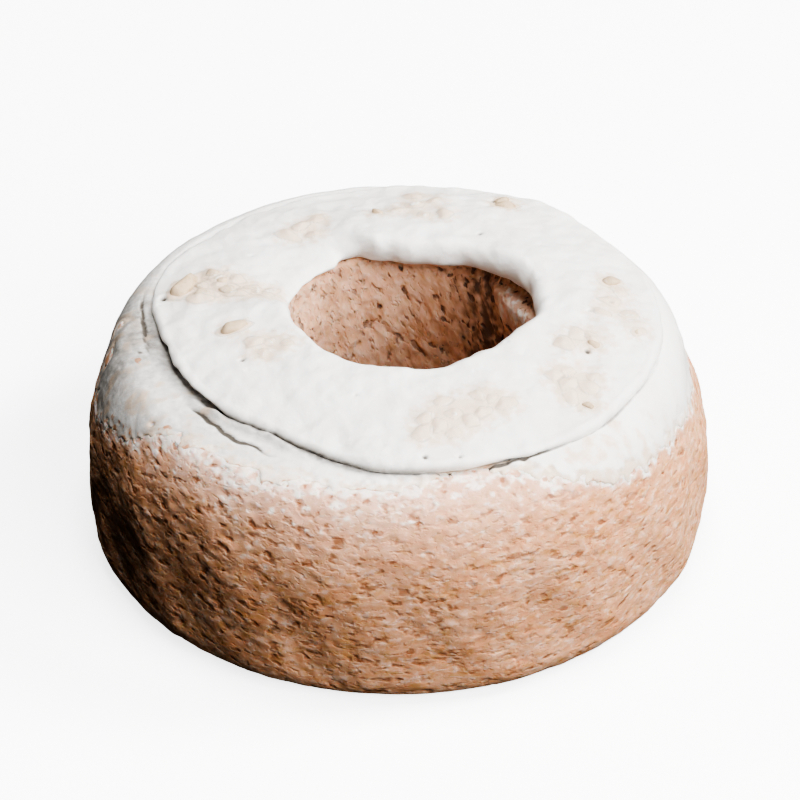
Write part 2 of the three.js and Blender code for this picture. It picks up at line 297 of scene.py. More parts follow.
class Profile:
    """A run of (radius, height) points, measured along its length, with its outer side on the right."""

    STEPS: ClassVar[int] = 160
    REACH: ClassVar[float] = 0.3

    def __init__(self, *runs: Array) -> None:
        """Join runs of points.

        Args:
            runs: rows of (radius, height), each run starting where the last one ends.
        """
        self.points = np.concatenate([runs[0]] + [run[1:] for run in runs[1:]])
        lengths = np.linalg.norm(np.diff(self.points, axis=0), axis=1)
        self.along = np.concatenate([[0], np.cumsum(lengths)])

    @classmethod
    def line(cls, start: Pair, end: Pair) -> Array:
        """Give the points of a straight run."""
        return np.linspace(start, end, cls.STEPS)

    @classmethod
    def arc(cls, middle: Pair, radii: Pair, start: float, end: float) -> Array:
        """Give the points of an elliptical run between two angles in degrees."""
        turn = np.radians(np.linspace(start, end, cls.STEPS))
        return np.array(middle) + np.stack([radii[0] * np.cos(turn), radii[1] * np.sin(turn)], axis=-1)

    @classmethod
    def bend(cls, start: Array, middle: Array, end: Array) -> Array:
        """Give the points of a quadratic curve pulled towards its middle point."""
        share = np.linspace(0, 1, cls.STEPS)[:, None]
        return mixed(mixed(start, middle, share), mixed(middle, end, share), share)

    @property
    def length(self) -> float:
        """Length of the whole run."""
        return float(self.along[-1])

    def at(self, along: Array) -> Array:
        """Give (radius, height) at distances along the run."""
        return np.stack([np.interp(along, self.along, self.points[:, k]) for k in range(2)], axis=-1)

    def normal(self, along: Array) -> Array:
        """Work out the unit way out, a quarter turn to the right of the way along.

        Args:
            along: distances along the run.

        Returns:
            The ways as (radius, height).
        """
        way = self.at(along + self.REACH) - self.at(along - self.REACH)
        way = way / np.linalg.norm(way, axis=-1, keepdims=True)
        return np.stack([way[..., 1], -way[..., 0]], axis=-1)


def spaced(*stretches: Triple) -> Array:
    """Give row places over stretches of (start, end, step) that follow each other."""
    runs = [np.linspace(a, b, max(2, round((b - a) / step) + 1))[:-1] for a, b, step in stretches]
    return np.concatenate(runs + [[stretches[-1][1]]])


@dataclass
class Surface:
    """A mesh in the making: points in millimetres, faces, values at the points, and finishes of faces."""

    points: Array
    faces: list[Array]
    values: dict[str, Array] = field(default_factory=dict)
    finishes: list[int] = field(default_factory=list)

    @staticmethod
    def bands(rows: int, columns: int, start: int = 0, shut: bool = False) -> Array:
        """Give the quads of a grid whose columns close into a ring.

        Args:
            rows: rows of points, each a ring.
            columns: points in a ring.
            start: index of the grid's first point.
            shut: whether the last row also joins the first.

        Returns:
            Rows of four point indices.
        """
        row = np.arange(rows if shut else rows - 1)[:, None]
        here = np.arange(columns)[None, :]
        aside = (here + 1) % columns
        low, high = row * columns, (row + 1) % rows * columns
        corners = [low + here, low + aside, high + aside, high + here]
        return start + np.stack(corners, axis=-1).reshape(-1, 4)

    def put(self, name: str) -> bpy.types.Object:
        """Make the Blender object, at the origin, with smooth faces.

        Args:
            name: the piece's name.

        Returns:
            The new object, linked to the scene.
        """
        mesh = bpy.data.meshes.new(name)
        faces = [face for block in self.faces for face in block.tolist()]
        mesh.from_pydata((self.points * MM).tolist(), [], faces)
        mesh.polygons.foreach_set("use_smooth", np.ones(len(faces), dtype=bool))
        if self.finishes:
            counts = [len(block) for block in self.faces]
            mesh.polygons.foreach_set("material_index", np.repeat(self.finishes, counts))
        for key, value in self.values.items():
            layer = mesh.attributes.new(key, "FLOAT", "POINT")
            layer.data.foreach_set("value", np.ascontiguousarray(value, dtype=np.float32))
        mesh.update()
        piece = bpy.data.objects.new(name, mesh)
        bpy.context.scene.collection.objects.link(piece)
        return piece


class Wire:
    """A node's output that takes part in Python sums, each sum adding a Math node."""

    def __init__(self, graph: "Graph", socket: bpy.types.NodeSocket) -> None:
        """Wrap one output socket of a graph."""
        self.graph = graph
        self.socket = socket

    def __add__(self, other: Any) -> "Wire":
        """Add."""
        return self.graph.math("ADD", self, other)

    def __sub__(self, other: Any) -> "Wire":
        """Subtract."""
        return self.graph.math("SUBTRACT", self, other)

    def __rsub__(self, other: Any) -> "Wire":
        """Subtract from a number."""
        return self.graph.math("SUBTRACT", other, self)

    def __mul__(self, other: Any) -> "Wire":
        """Multiply."""
        return self.graph.math("MULTIPLY", self, other)

    __radd__ = __add__
    __rmul__ = __mul__

    def step(self, low: float, high: float) -> "Wire":
        """Rise smoothly from 0 at low to 1 at high."""
        inputs = {"Value": self, "From Min": low, "From Max": high}
        return self.graph.add("ShaderNodeMapRange", {"interpolation_type": "SMOOTHSTEP"}, inputs)["Result"]


class Outputs:
    """The outputs of one node, by name."""

    def __init__(self, graph: "Graph", node: bpy.types.Node) -> None:
        """Wrap a node of a graph."""
        self.graph = graph
        self.node = node

    def __getitem__(self, key: str | int) -> Wire:
        """Give the output of that name or place."""
        return Wire(self.graph, self.node.outputs[key])


class Graph:
    """A material's node tree, with a Principled shader at its end."""

    COLOUR_A: ClassVar[int] = 6
    COLOUR_B: ClassVar[int] = 7
    COLOUR_OUT: ClassVar[int] = 2
    DETAIL: ClassVar[float] = 2.0
    PIT_DETAIL: ClassVar[float] = 1.5

    def __init__(self, name: str) -> None:
        """Start a material.

        Args:
            name: the material's name.
        """
        self.material = bpy.data.materials.new(name)
        self.material.use_nodes = True
        self.tree = self.material.node_tree
        self.shader = self.tree.nodes["Principled BSDF"]
        self.place = self.add("ShaderNodeTexCoord", {}, {})["Object"]

    def feed(self, socket: bpy.types.NodeSocket, value: Any) -> None:
        """Link a wire to a socket, or set the socket's own value.

        Args:
            socket: the input to feed.
            value: a wire, a number, a vector or a colour.
        """
        if isinstance(value, Wire):
            self.tree.links.new(value.socket, socket)
        elif isinstance(value, tuple) and socket.type == "RGBA":
            socket.default_value = (*value, 1.0)
        else:
            socket.default_value = value

    def add(self, kind: str, settings: dict[str, Any], inputs: dict[str | int, Any]) -> Outputs:
        """Add any node.

        Args:
            kind: the node's type.
            settings: properties, which are set first.
            inputs: values or wires for its sockets.

        Returns:
            The node's outputs.
        """
        node = self.tree.nodes.new(kind)
        for key, value in settings.items():
            setattr(node, key, value)
        for key, value in inputs.items():
            self.feed(node.inputs[key], value)
        return Outputs(self, node)

    def math(self, operation: str, first: Any, second: Any) -> Wire:
        """Add a Math node on two values or wires."""
        return self.add("ShaderNodeMath", {"operation": operation}, {0: first, 1: second})["Value"]

    def mix(self, share: Any, first: Any, second: Any) -> Wire:
        """Mix two colours: the first at share 0 and the second at share 1."""
        inputs = {0: share, self.COLOUR_A: first, self.COLOUR_B: second}
        return self.add("ShaderNodeMix", {"data_type": "RGBA"}, inputs)[self.COLOUR_OUT]

    def noise(self, size: float, detail: float = DETAIL, at: Wire | None = None) -> Wire:
        """Add noise from 0 to 1 with swells of about that size in millimetres."""
        inputs = {"Vector": at or self.place, "Scale": 1 / (size * MM), "Detail": detail}
        return self.add("ShaderNodeTexNoise", {}, inputs)["Fac"]

    def stretched(self, scale: Triple, lean: float = 0.0) -> Wire:
        """Give the object's coordinates, leant sideways and scaled along each axis.

        Args:
            scale: factors along the axes.
            lean: angle of the lean in degrees.

        Returns:
            The changed coordinates.
        """
        inputs = {
            "Vector": self.place,
            "Rotation": (0.0, math.radians(lean), 0.0),
            "Scale": tuple(1 / factor for factor in scale),
        }
        return self.add("ShaderNodeMapping", {"vector_type": "TEXTURE"}, inputs)["Vector"]

    def ragged(self, at: Wire, size: float, reach: float) -> Wire:
        """Shift coordinates along each axis by noise.

        Args:
            at: coordinates to shift.
            size: size of the noise's swells in millimetres.
            reach: largest shift in millimetres.

        Returns:
            The shifted coordinates.
        """
        shift = self.add("ShaderNodeTexNoise", {}, {"Vector": at, "Scale": 1 / (size * MM)})["Color"]
        inputs = {0: shift, 1: (reach * MM,) * 3, 2: at}
        return self.add("ShaderNodeVectorMath", {"operation": "MULTIPLY_ADD"}, inputs)["Vector"]

    def pits(self, size: float, edge: Pair, at: Wire) -> Wire:
        """Add scattered ragged pits, where noise falls low.

        Args:
            size: size of the noise's swells in millimetres.
            edge: noise at the floor of a pit and at its brim.
            at: coordinates to read.

        Returns:
            Depth from 0 to 1.
        """
        return 1 - self.noise(size, self.PIT_DETAIL, at).step(*edge)

    def value(self, name: str) -> Wire:
        """Read a named value that the mesh holds at its points."""
        return self.add("ShaderNodeAttribute", {"attribute_name": name}, {})["Fac"]

    def relief(self, *bumps: tuple[Wire, float, float]) -> Wire:
        """Add bumps one on top of another.

        Args:
            bumps: each bump's height, its depth in millimetres and its strength, the lowest one first.

        Returns:
            The normal on top of them all.
        """
        normal = None
        for height, depth, strength in bumps:
            inputs = {"Height": height, "Distance": depth * MM, "Strength": strength}
            if normal is not None:
                inputs["Normal"] = normal
            normal = self.add("ShaderNodeBump", {}, inputs)["Normal"]
        return normal

    def finish(self, **sockets: Any) -> bpy.types.Material:
        """Feed the Principled shader.

        Args:
            sockets: values or wires by the sockets' names, with _ for a space.

        Returns:
            The finished material.
        """
        for key, value in sockets.items():
            self.feed(self.shader.inputs[key.replace("_", " ")], value)
        return self.material


@dataclass(frozen=True)
class CrumbFinish:
    """Open baked crumb: peach skin, brown painted shade in its pores, and a pale film of icing left on its
    peaks.
    """

    name: str = "carrot_crumb"
    skin: Colour = (0.58, 0.275, 0.145)
    pale: Colour = (0.69, 0.405, 0.26)
    ochre: Colour = (0.50, 0.25, 0.085)
    # Brown of the painted shade in the pores, also used for random dark mottling.
    mottle_and_painted_shade: Colour = (0.36, 0.15, 0.072)
    haze: Colour = (0.76, 0.555, 0.46)
    film: Colour = (0.83, 0.745, 0.685)
    roughness: float = 0.9
    specular: float = 0.2
    soak: float = 0.4
    soak_depth: float = 1.5
    soak_radii: Colour = (1.0, 0.45, 0.25)
    flatness: Triple = (1.0, 1.0, 1.6)
    lean: float = 0.0
    sway_size: float = 4.0
    sway_reach: float = 1.6
    patch_size: float = 15.0
    speck_size: float = 3.6
    speck_detail: float = 1.0
    grain_size: float = 1.4
    tone_weights: Triple = (0.6, 0.8, -0.2)
    tone_edge: Pair = (0.2, 0.8)
    ochre_size: float = 5.0
    ochre_edge: Pair = (0.5, 0.72)
    ochre_share: float = 0.6
    pore_size: float = 4.8
    pore_edge: Pair = (0.27, 0.48)
    fine_pore_size: float = 2.2
    fine_pore_edge: Pair = (0.28, 0.46)
    hollow_weights: Triple = (0.5, 0.8, 0.3)
    mottle: float = 0.65
    painted_shade_mottle: float = 0.0
    grain_mottle: float = 0.2
    dark_edge: Pair = (0.18, 1.05)
    fleck_grain: float = 0.5
    fleck_edge: Pair = (0.84, 0.96)
    fleck_share: float = 0.38
    haze_edge: Pair = (0.0, 0.8)
    haze_dark: float = 0.85
    haze_share: float = 0.7
    cover_film: float = 1.9
    cover_dark: float = 2.2
    cover_specks: float = 3.5
    cover_start: float = 0.9
    pore_depth: float = 0.38
    fine_depth: float = 0.14
    speck_depth: float = 0.26
    grain_depth: float = 0.1
    bump_strength: float = 1.0

    def make(self) -> bpy.types.Material:
        """Make the material: painted shade in the pores, from the mesh and two finer sizes, darkens it, and
        film covers the rest.

        Returns:
            The material, which reads the mesh's painted shade and film values.
        """
        graph = Graph(self.name)
        flat = graph.ragged(graph.stretched(self.flatness, self.lean), self.sway_size, self.sway_reach)
        patches = graph.noise(self.patch_size)
        specks = graph.noise(self.speck_size, self.speck_detail, flat)
        grain = graph.noise(self.grain_size, at=flat)
        pores = graph.pits(self.pore_size, self.pore_edge, flat)
        fine = graph.pits(self.fine_pore_size, self.fine_pore_edge, flat)
        painted_shade = graph.value("painted_shade")
        # The film value is icing film, and on the hole's ledge also painted light.
        film = graph.value("film")
        patch_weight, speck_weight, offset = self.tone_weights
        tone = (patches * patch_weight + specks * speck_weight + offset).step(*self.tone_edge)
        painted_shade_weight, pore_weight, fine_weight = self.hollow_weights
        # Painted shade in the pores: the mesh's value and two finer sizes of noise pore, made uneven by
        # mottling.
        hollow = painted_shade * painted_shade_weight + pores * pore_weight + fine * fine_weight
        mottle = (NOISE_MIDDLE - specks) * (painted_shade * self.painted_shade_mottle + self.mottle)
        dark = (hollow + mottle + (NOISE_MIDDLE - grain) * self.grain_mottle).step(*self.dark_edge)
        ochre = graph.noise(self.ochre_size, at=flat).step(*self.ochre_edge) * self.ochre_share
        flecks = (specks + grain * self.fleck_grain).step(*self.fleck_edge) * self.fleck_share
        veil = film.step(*self.haze_edge) * (1 - dark * self.haze_dark) * self.haze_share
        peaks = (specks - NOISE_MIDDLE) * self.cover_specks
        cover = (film * self.cover_film - dark * self.cover_dark + peaks - self.cover_start).step(0.0, 1.0)
        colour = graph.mix(tone, self.skin, self.pale)
        layers = (
            (ochre, self.ochre),
            (flecks, self.haze),
            (dark, self.mottle_and_painted_shade),
            (veil, self.haze),
            (cover, self.film),
        )
        for share, tint in layers:
            colour = graph.mix(share, colour, tint)
        return graph.finish(
            Base_Color=colour,
            Roughness=self.roughness,
            Specular_IOR_Level=self.specular,
            Subsurface_Weight=self.soak,
            Subsurface_Scale=self.soak_depth * MM,
            Subsurface_Radius=self.soak_radii,
            Normal=graph.relief(
                (1 - pores, self.pore_depth, self.bump_strength),
                (specks, self.speck_depth, self.bump_strength),
                (1 - fine, self.fine_depth, self.bump_strength),
                (grain, self.grain_depth, self.bump_strength),
            ),
        )


CUT_CRUMB = CrumbFinish(
    name="cut_carrot_crumb",
    skin=(0.63, 0.36, 0.23),
    pale=(0.73, 0.475, 0.335),
    ochre=(0.52, 0.30, 0.165),
    mottle_and_painted_shade=(0.2, 0.125, 0.09),
    flatness=(1.5, 1.5, 0.8),
    lean=-25.0,
    mottle=0.5,
    painted_shade_mottle=1.0,
    speck_size=4.0,
    pore_size=4.6,
    pore_edge=(0.31, 0.42),
    fine_pore_edge=(0.28, 0.42),
    dark_edge=(0.32, 1.2),
    pore_depth=0.8,
    fine_depth=0.4,
    speck_depth=0.9,
)


@dataclass(frozen=True)
class IcingFinish:
    """Soft white icing: faint warm patches, beige where nuts show through, worn crumb, and painted shade in
    dents, creases and cracks.
    """

    white: Colour = (0.84, 0.82, 0.79)
    shade: Colour = (0.80, 0.765, 0.725)
    beige: Colour = (0.745, 0.605, 0.485)
    crumb: Colour = (0.60, 0.33, 0.20)
    # Colour of the painted shade in dents, creases, cracks and on the lip's side.
    dent_and_painted_shade: Colour = (0.11, 0.095, 0.08)
    roughness: float = 0.55
    specular: float = 0.3
    soak: float = 0.3
    soak_depth: float = 1.2
    soak_radii: Colour = (1.0, 0.85, 0.7)
    detail: float = 3.0
    patch_size: float = 18.0
    speck_size: float = 3.0
    grain_size: float = 0.8
    shade_edge: Pair = (0.4, 0.8)
    beige_gain: float = 1.4
    beige_specks: float = 2.0
    beige_edge: Pair = (0.0, 0.25)
    worn_specks: float = 2.4
    worn_edge: Pair = (0.0, 0.2)
    worn_start: float = 0.75
    worn_rise: float = 0.4
    painted_shade_edge: Pair = (0.1, 1.2)
    patch_bump: Pair = (1.0, 0.3)
    speck_bump: Pair = (0.9, 0.35)
    grain_bump: Pair = (0.12, 0.5)

    def make(self) -> bpy.types.Material:
        """Make the material: patches of shade, then the mesh's values, each made uneven by specks.

        Returns:
            The material, which reads the mesh's values "stain" and "thin", and its value of painted shade.
        """
        graph = Graph("white_icing")
        patches = graph.noise(self.patch_size, self.detail)
        specks = graph.noise(self.speck_size, self.detail)
        grain = graph.noise(self.grain_size)
        stain, thin, dent_and_painted_shade = [graph.value(name) for name in ("stain", "thin", "dent_and_painted_shade")]
        uneven = specks - NOISE_MIDDLE
        beige = stain * self.beige_gain + uneven * self.beige_specks * stain.step(*self.beige_edge)
        worn = thin + uneven * self.worn_specks * thin.step(*self.worn_edge) - self.worn_start
        # Painted shade: the mesh's dark value, made uneven by specks.
        dark = dent_and_painted_shade - uneven * dent_and_painted_shade
        colour = graph.mix(patches.step(*self.shade_edge), self.white, self.shade)
        colour = graph.mix(beige.step(0.0, 1.0), colour, self.beige)
        colour = graph.mix(worn.step(0.0, self.worn_rise), colour, self.crumb)
        return graph.finish(
            Base_Color=graph.mix(dark.step(*self.painted_shade_edge), colour, self.dent_and_painted_shade),
            Roughness=self.roughness,
            Specular_IOR_Level=self.specular,
            Subsurface_Weight=self.soak,
            Subsurface_Scale=self.soak_depth * MM,
            Subsurface_Radius=self.soak_radii,
            Normal=graph.relief(
                (patches, *self.patch_bump), (specks, *self.speck_bump), (grain, *self.grain_bump)
            ),
        )


@dataclass(frozen=True)
class NutFinish:
    """Chopped nut: beige flesh with tan skin, and icing left on it in patches."""

    flesh: Colour = (0.58, 0.445, 0.30)
    skin: Colour = (0.38, 0.265, 0.155)
    icing: Colour = (0.83, 0.80, 0.76)
    roughness: float = 0.6
    specular: float = 0.3
    patch_size: float = 4.0
    patch_detail: float = 3.0
    grain_size: float = 1.0
    skin_edge: Pair = (0.45, 0.75)
    cover_weights: Pair = (0.6, 0.8)
    cover_edge: Pair = (0.1, 0.8)
    grain_bump: Pair = (0.3, 0.6)

    def make(self) -> bpy.types.Material:
        """Make the material: skin in patches, and icing where a nut isn't bare.

        Returns:
            The material, which reads the mesh's value "bare".
        """
        graph = Graph("chopped_nut")
        patches = graph.noise(self.patch_size, self.patch_detail)
        grain = graph.noise(self.grain_size)
        colour = graph.mix(patches.step(*self.skin_edge), self.flesh, self.skin)
        grain_weight, patch_weight = self.cover_weights
        cover = grain * grain_weight + patches * patch_weight - graph.value("bare")
        return graph.finish(
            Base_Color=graph.mix(cover.step(*self.cover_edge), colour, self.icing),
            Roughness=self.roughness,
            Specular_IOR_Level=self.specular,
            Normal=graph.relief((grain, *self.grain_bump)),
        )


@dataclass(frozen=True)
class FloorFinish:
    """Plain pale floor with a little glow of its own, so that it stays paler than the icing."""

    colour: Colour = (0.90, 0.90, 0.90)
    white: Colour = (1.0, 1.0, 1.0)
    patch_size: float = 400.0
    patch_share: float = 0.05
    roughness: float = 0.9
    glow: float = 1.6

    def make(self) -> bpy.types.Material:
        """Make the material.

        Returns:
            The material, with faint broad patches.
        """
        graph = Graph("pale_floor")
        tone = graph.mix(graph.noise(self.patch_size) * self.patch_share, self.colour, self.white)
        return graph.finish(
            Base_Color=tone,
            Roughness=self.roughness,
            Emission_Color=tone,
            Emission_Strength=self.glow,
        )


@dataclass(frozen=True)
class CakeForm:
    """The cake's driving sizes, in millimetres, and the forms that its pieces share."""

    cake_top: float
    wall_radius: float = 110.0
    foot_radius: float = 103.5
    foot_round: float = 9.5
    shoulder_start: float = 34.0
    top_radius: float = 91.5
    hole_top_radius: float = 46.0
    hole_foot_radius: float = 44.0
    hole_edge: float = 2.0
    hole_shift: Triple = (5.8, 5.1, 0.0)
    gap: float = 0.3
    cap_radius: float = 93.5
    cap_hole_radius: float = 43.0
    cap_rim_top: float = 88.2
    cap_lip_top: float = 82.0
    rim_round: float = 5.0
    lip_round: float = 3.0
    lumps: Waves = Waves(0.7, 1, 2, 0.03, 1)
    crags: Waves = Waves(0.85, 9, 7, 0.06, 5)
    wall_swell: Swell = Swell(352, 32, 4, 1.8)
    wall_swell_span: Pair = (26.0, 24.0)
    hollows: tuple[Swell, ...] = (Swell(22, 42, 4, 3.0), Swell(158, 30, 4, 2.0))
    hollow_span: Pair = (61.0, 16.0)
    shape_fade: float = 12.0
    ledge: Swell = Swell(27, 20, 6, 5.0)
    ledge_heights: Triple = (46.0, 70.0, 77.0)
    rim_bulges: tuple[Swell, ...] = (
        Swell(322, 22, 4, 5.0),
        Swell(298, 12, 4, 2.0),
        Swell(268, 34, 4, 3.4),
        Swell(214, 20, 4, 2.2),
        Swell(120, 8, 4, -3.5),
        Swell(83, 16, 4, 4.0),
        Swell(80, 42, 4, 5.0),
    )
    lip_wobble: Waves = Waves(0.6, 3, 4, 0.0, 2)
    lip_cuts: tuple[Swell, ...] = (
        Swell(213.6, 43, 4, 12),
        Swell(268.5, 55, 2, 8.3),
        Swell(128, 46, 4, 2.4),
    )
    coat_reach: float = 27.0
    coat_cuts: tuple[Swell, ...] = (
        Swell(256, 50, 6, 24),
        Swell(268, 20, 4, 3),
        Swell(322, 24, 4, 8),
        Swell(289, 13, 4, 8.0),
    )
    coat_fade: float = 0.7
    coat_feather: float = 6.5
    coat_imprint: float = 0.25
    edge_swell: Ripple = Ripple(8.0, 2.2, 61)
    edge_tatters: Ripple = Ripple(3.0, 1.6, 62)
    edge_fingers: Ripple = Ripple(2.4, 2.4, 64)
    finger_stretch: Triple = (1.0, 1.0, 0.32)
    edge_dabs: Dimples = Dimples(6.0, 0.45, (0.15, 0.4), 3.0, 66)
    thin_spots: Swell = Swell(190, 40, 4, 14)
    thin_pits: Dimples = Dimples(9.0, 0.5, (0.15, 0.4), 1.0, 67)
    thin_span: Pair = (4.0, 12.0)
    hole_spots: Swell = Swell(250, 55, 6, 9)
    hole_pits: Dimples = Dimples(4.6, 0.55, (0.12, 0.42), 1.0, 68)
    hole_span: Pair = (-1.0, 3.0)
    bare_spots: tuple[Triple, ...] = (
        (182.2, 14.5, 3.4),
        (175, 8, 2.8),
        (172, 24, 3.2),
        (184, 25, 2.6),
    )
    bare_slope: float = 1.5
    rough_side: Swell = Swell(235, 75, 4, 0.08)
    rough_least: float = 0.52
    crumb_flatness: Triple = (1.0, 1.0, 1.5)
    cut_flatness: Triple = (1.6, 1.6, 0.85)
    cut_lean: float = 0.45
    cut_rough: float = 1.2
    pore_sway: tuple[float, float, int] = (4.5, 1.8, 11)
    large_pores: Dimples = Dimples(10.0, 0.4, (0.16, 0.36), 1.0, 21)
    small_pores: Dimples = Dimples(5.6, 0.6, (0.12, 0.5), 1.0, 31)
    pore_cuts: Pair = (1.2, 0.8)
    pore_painted_shades: Pair = (0.9, 0.65)
    crumb_swell: Ripple = Ripple(8.0, 0.35, 41)
    crumb_lumps: Ripple = Ripple(3.8, 0.45, 42)
    crumb_grain: Ripple = Ripple(2.0, 0.14, 43)
    swell_painted_light: float = 0.25
    still_height: float = 2.5
    still_radii: Pair = (80.0, 88.0)

    @property
    def cap_bottom(self) -> float:
        """Height of the cap's underside."""
        return self.cake_top + self.gap

    @property
    def lip_height(self) -> float:
        """Height of the cap's outer lip from its underside."""
        return self.cap_lip_top - self.cap_bottom

    @property
    def shoulder(self) -> Pair:
        """Depth and height of the rounded shoulder."""
        return self.wall_radius - self.top_radius, self.cake_top - self.shoulder_start

    def crumb_relief(self, angle: Array, height: Array) -> Array:
        """Work out the lumps and crags of the wall, dying away towards the flat top and the foot.

        The sum of both waves is multiplied by the share of the shoulder's height that lies above the
        point, and by the share of the foot's round that lies below it.

        Args:
            angle: angle of each point.
            height: height of each point.

        Returns:
            Distances out from the plain wall.
        """
        below_top = np.clip((self.cake_top - height) / self.shoulder[1], 0, 1)
        above_foot = np.clip(height / self.foot_round, 0, 1)
        return below_top * above_foot * (self.lumps(angle, height) + self.crags(angle, height))

    def wall_shape(self, angle: Array, height: Array) -> Array:
        """Work out the broad swell low on the right of the wall, less the hollows of its shoulder.

        Each is its depth at the angle times a hump in height, and both fade out towards the top.

        Args:
            angle: angle of each point.
            height: height of each point.

        Returns:
            Distances out from the plain wall.
        """
        fade = np.clip((self.cake_top - height) / self.shape_fade, 0, 1)
        swell = self.wall_swell(angle) * hump(height, *self.wall_swell_span)
        hollow = summed(self.hollows, angle) * hump(height, *self.hollow_span)
        return fade * (swell - hollow)

    def hole_ledge(self, angle: Array, height: Array) -> Array:
        """Ledge that leans into the hole: depth at the angle, times a smooth rise and fall in height."""
        low, middle, top = self.ledge_heights
        return self.ledge(angle) * smooth(low, middle, height) * (1 - smooth(middle, top, height))

    def cap_edge(self, angle: Array) -> Array:
        """Change of the cap's outer edge from its round radius: the wobble less the cuts."""
        return self.lip_wobble(angle) - summed(self.lip_cuts, angle)

    def coat_edge(self, angle: Array) -> Array:
        """Distance of the coat's lower edge down the skin from the top's corner: reach less cuts."""
        return self.coat_reach - summed(self.coat_cuts, angle)

    def outer_run(self, start: float, end: float) -> Profile:
        """Work out the profile from the base, up the wall, to the top.

        Args:
            start: radius where it starts on the base.
            end: radius where it ends on the top.

        Returns:
            The profile.
        """
        foot = (self.wall_radius - self.foot_radius, self.foot_round)
        return Profile(
            Profile.line((start, 0), (self.foot_radius, 0)),
            Profile.arc((self.foot_radius, self.foot_round), foot, -90, 0),
            Profile.line((self.wall_radius, self.foot_round), (self.wall_radius, self.shoulder_start)),
            Profile.arc((self.top_radius, self.shoulder_start), self.shoulder, 0, 90),
            Profile.line((self.top_radius, self.cake_top), (end, self.cake_top)),
        )

    def hole_run(self, start: float, end: float) -> Profile:
        """Work out the profile from the top, down the hole, to the base.

        Args:
            start: radius where it starts on the top.
            end: radius where it ends on the base.

        Returns:
            The profile.
        """
        edge = self.hole_edge
        top_x = self.hole_top_radius + edge
        foot_x = self.hole_foot_radius + edge
        return Profile(
            Profile.line((start, self.cake_top), (top_x, self.cake_top)),
            Profile.arc((top_x, self.cake_top - edge), (edge, edge), 90, 180),
            Profile.line((self.hole_top_radius, self.cake_top - edge), (self.hole_foot_radius, edge)),
            Profile.line((self.hole_foot_radius, edge), (foot_x, 0)),
            Profile.line((foot_x, 0), (end, 0)),
        )

    def place_crumb(self, radius: Array, angle: Array, height: Array) -> Array:
        """Put a point of the plain ring where it goes.

        The share of the way from the hole to the wall weighs the wall's shape, and the rest weighs the
        hole's ledge and shift. Lumps and crags stand out from the nearer side.

        Args:
            radius: radius of each point on the plain ring.
            angle: angle of each point.
            height: height of each point.

        Returns:
            Points as x, y and z.
        """
        share = (radius - self.hole_foot_radius) / (self.top_radius - self.hole_foot_radius)
        share = np.clip(share, 0, 1)
        relief = np.where(share > 0.5, 1, -1) * self.crumb_relief(angle, height)
        shape = share * self.wall_shape(angle, height) - (1 - share) * self.hole_ledge(angle, height)
        return polar(radius + relief + shape, angle, height) + (1 - share)[..., None] * self.hole_shift

    def pores(self, points: Array, cut: bool = False) -> tuple[Array, Array]:
        """Work out the open crumb: swells and pores, wider than they are high.

        The points are swayed, so that pores come out ragged. Two sizes of dimple are cut from three
        sizes of ripple.

        Args:
            points: rows of x, y and z on the plain ring.
            cut: whether it is the hole's side, where pores are drawn out upright.

        Returns:
            The height out from the plain ring, and the painted shade of the pores from 0 to 1, less on
            swells.
        """
        flat = points * self.crumb_flatness
        rough = self.rough_least + self.rough_side(np.arctan2(points[:, 1], points[:, 0]))
        if cut:
            leant = points + points[:, 2:] * (self.cut_lean, 0.0, 0.0)
            flat = leant * self.cut_flatness
            rough = self.cut_rough
        ragged = Grain.sway(flat, *self.pore_sway)
        large, small = self.large_pores(ragged), self.small_pores(ragged)
        swell = self.crumb_swell(flat) + self.crumb_lumps(ragged)
        large_cut, small_cut = self.pore_cuts
        height = swell + self.crumb_grain(ragged) - large_cut * large - small_cut * small
        # Painted shade: darker in the pores, lighter on the swells.
        large_painted_shade, small_painted_shade = self.pore_painted_shades
        depth = large_painted_shade * large + small_painted_shade * small - self.swell_painted_light * swell
        return rough * height, np.clip(depth, 0, 1)

    def stillness(self, radius: Array, height: Array) -> Array:
        """Share of the crumb's relief that is left: none on the base and under the cap."""
        below = self.cake_top - height + self.still_height * smooth(*self.still_radii, radius)
        return smooth(0, self.still_height, height) * smooth(0, self.still_height, below)

    def covered(self, reach: Array) -> tuple[Array, Array, Array]:
        """Tell where the smear lies, by smooth steps of how far it reaches past each point.

        Args:
            reach: distances in millimetres, below 0 past the smear's edge.

        Returns:
            The share that is covered, the share of the coat's full thickness, and the share of the
            crumb's relief that is left there.
        """
        cover = smooth(-self.coat_fade, self.coat_fade, reach)
        full = smooth(-self.coat_fade, self.coat_feather, reach)
        return cover, full, mixed(1.0, self.coat_imprint, cover * full)

    def smear(self, points: Array, past: Array, angle: Array) -> Array:
        """Work out how far the icing smear reaches past each point.

        Its edge is the coat's, made ragged by ripples and by fingers that run down the skin, with
        dabs added below it, thin spots taken out on the left and small holes at the front. Round a bare
        spot the reach is the distance from its ragged rim, times a slope.

        Args:
            points: rows of x, y and z on the plain ring.
            past: distance of each point down the skin from the corner of the cake's top.
            angle: angle of each point.

        Returns:
            Distances in millimetres, below 0 past the edge.
        """
        flat_past, flat_angle = past.ravel(), angle.ravel()
        drawn = points * self.finger_stretch
        tatters = self.edge_tatters(points)
        ragged = self.coat_edge(flat_angle) + self.edge_swell(points) + self.edge_fingers(drawn)
        ragged = ragged + tatters + self.edge_dabs(points)
        thin = self.thin_spots(flat_angle) * self.thin_pits(drawn)
        holes = self.hole_spots(flat_angle) * self.hole_pits(points)
        ragged = ragged - thin * smooth(*self.thin_span, flat_past)
        reach = ragged - holes * smooth(*self.hole_span, flat_past) - flat_past
        for spot_angle, spot_past, size in self.bare_spots:
            aside = self.wall_radius * turn_from(spot_angle, flat_angle)
            gap = np.hypot(aside, flat_past - spot_past) - size
            reach = np.minimum(reach, self.bare_slope * (gap + tatters))
        return reach.reshape(past.shape)


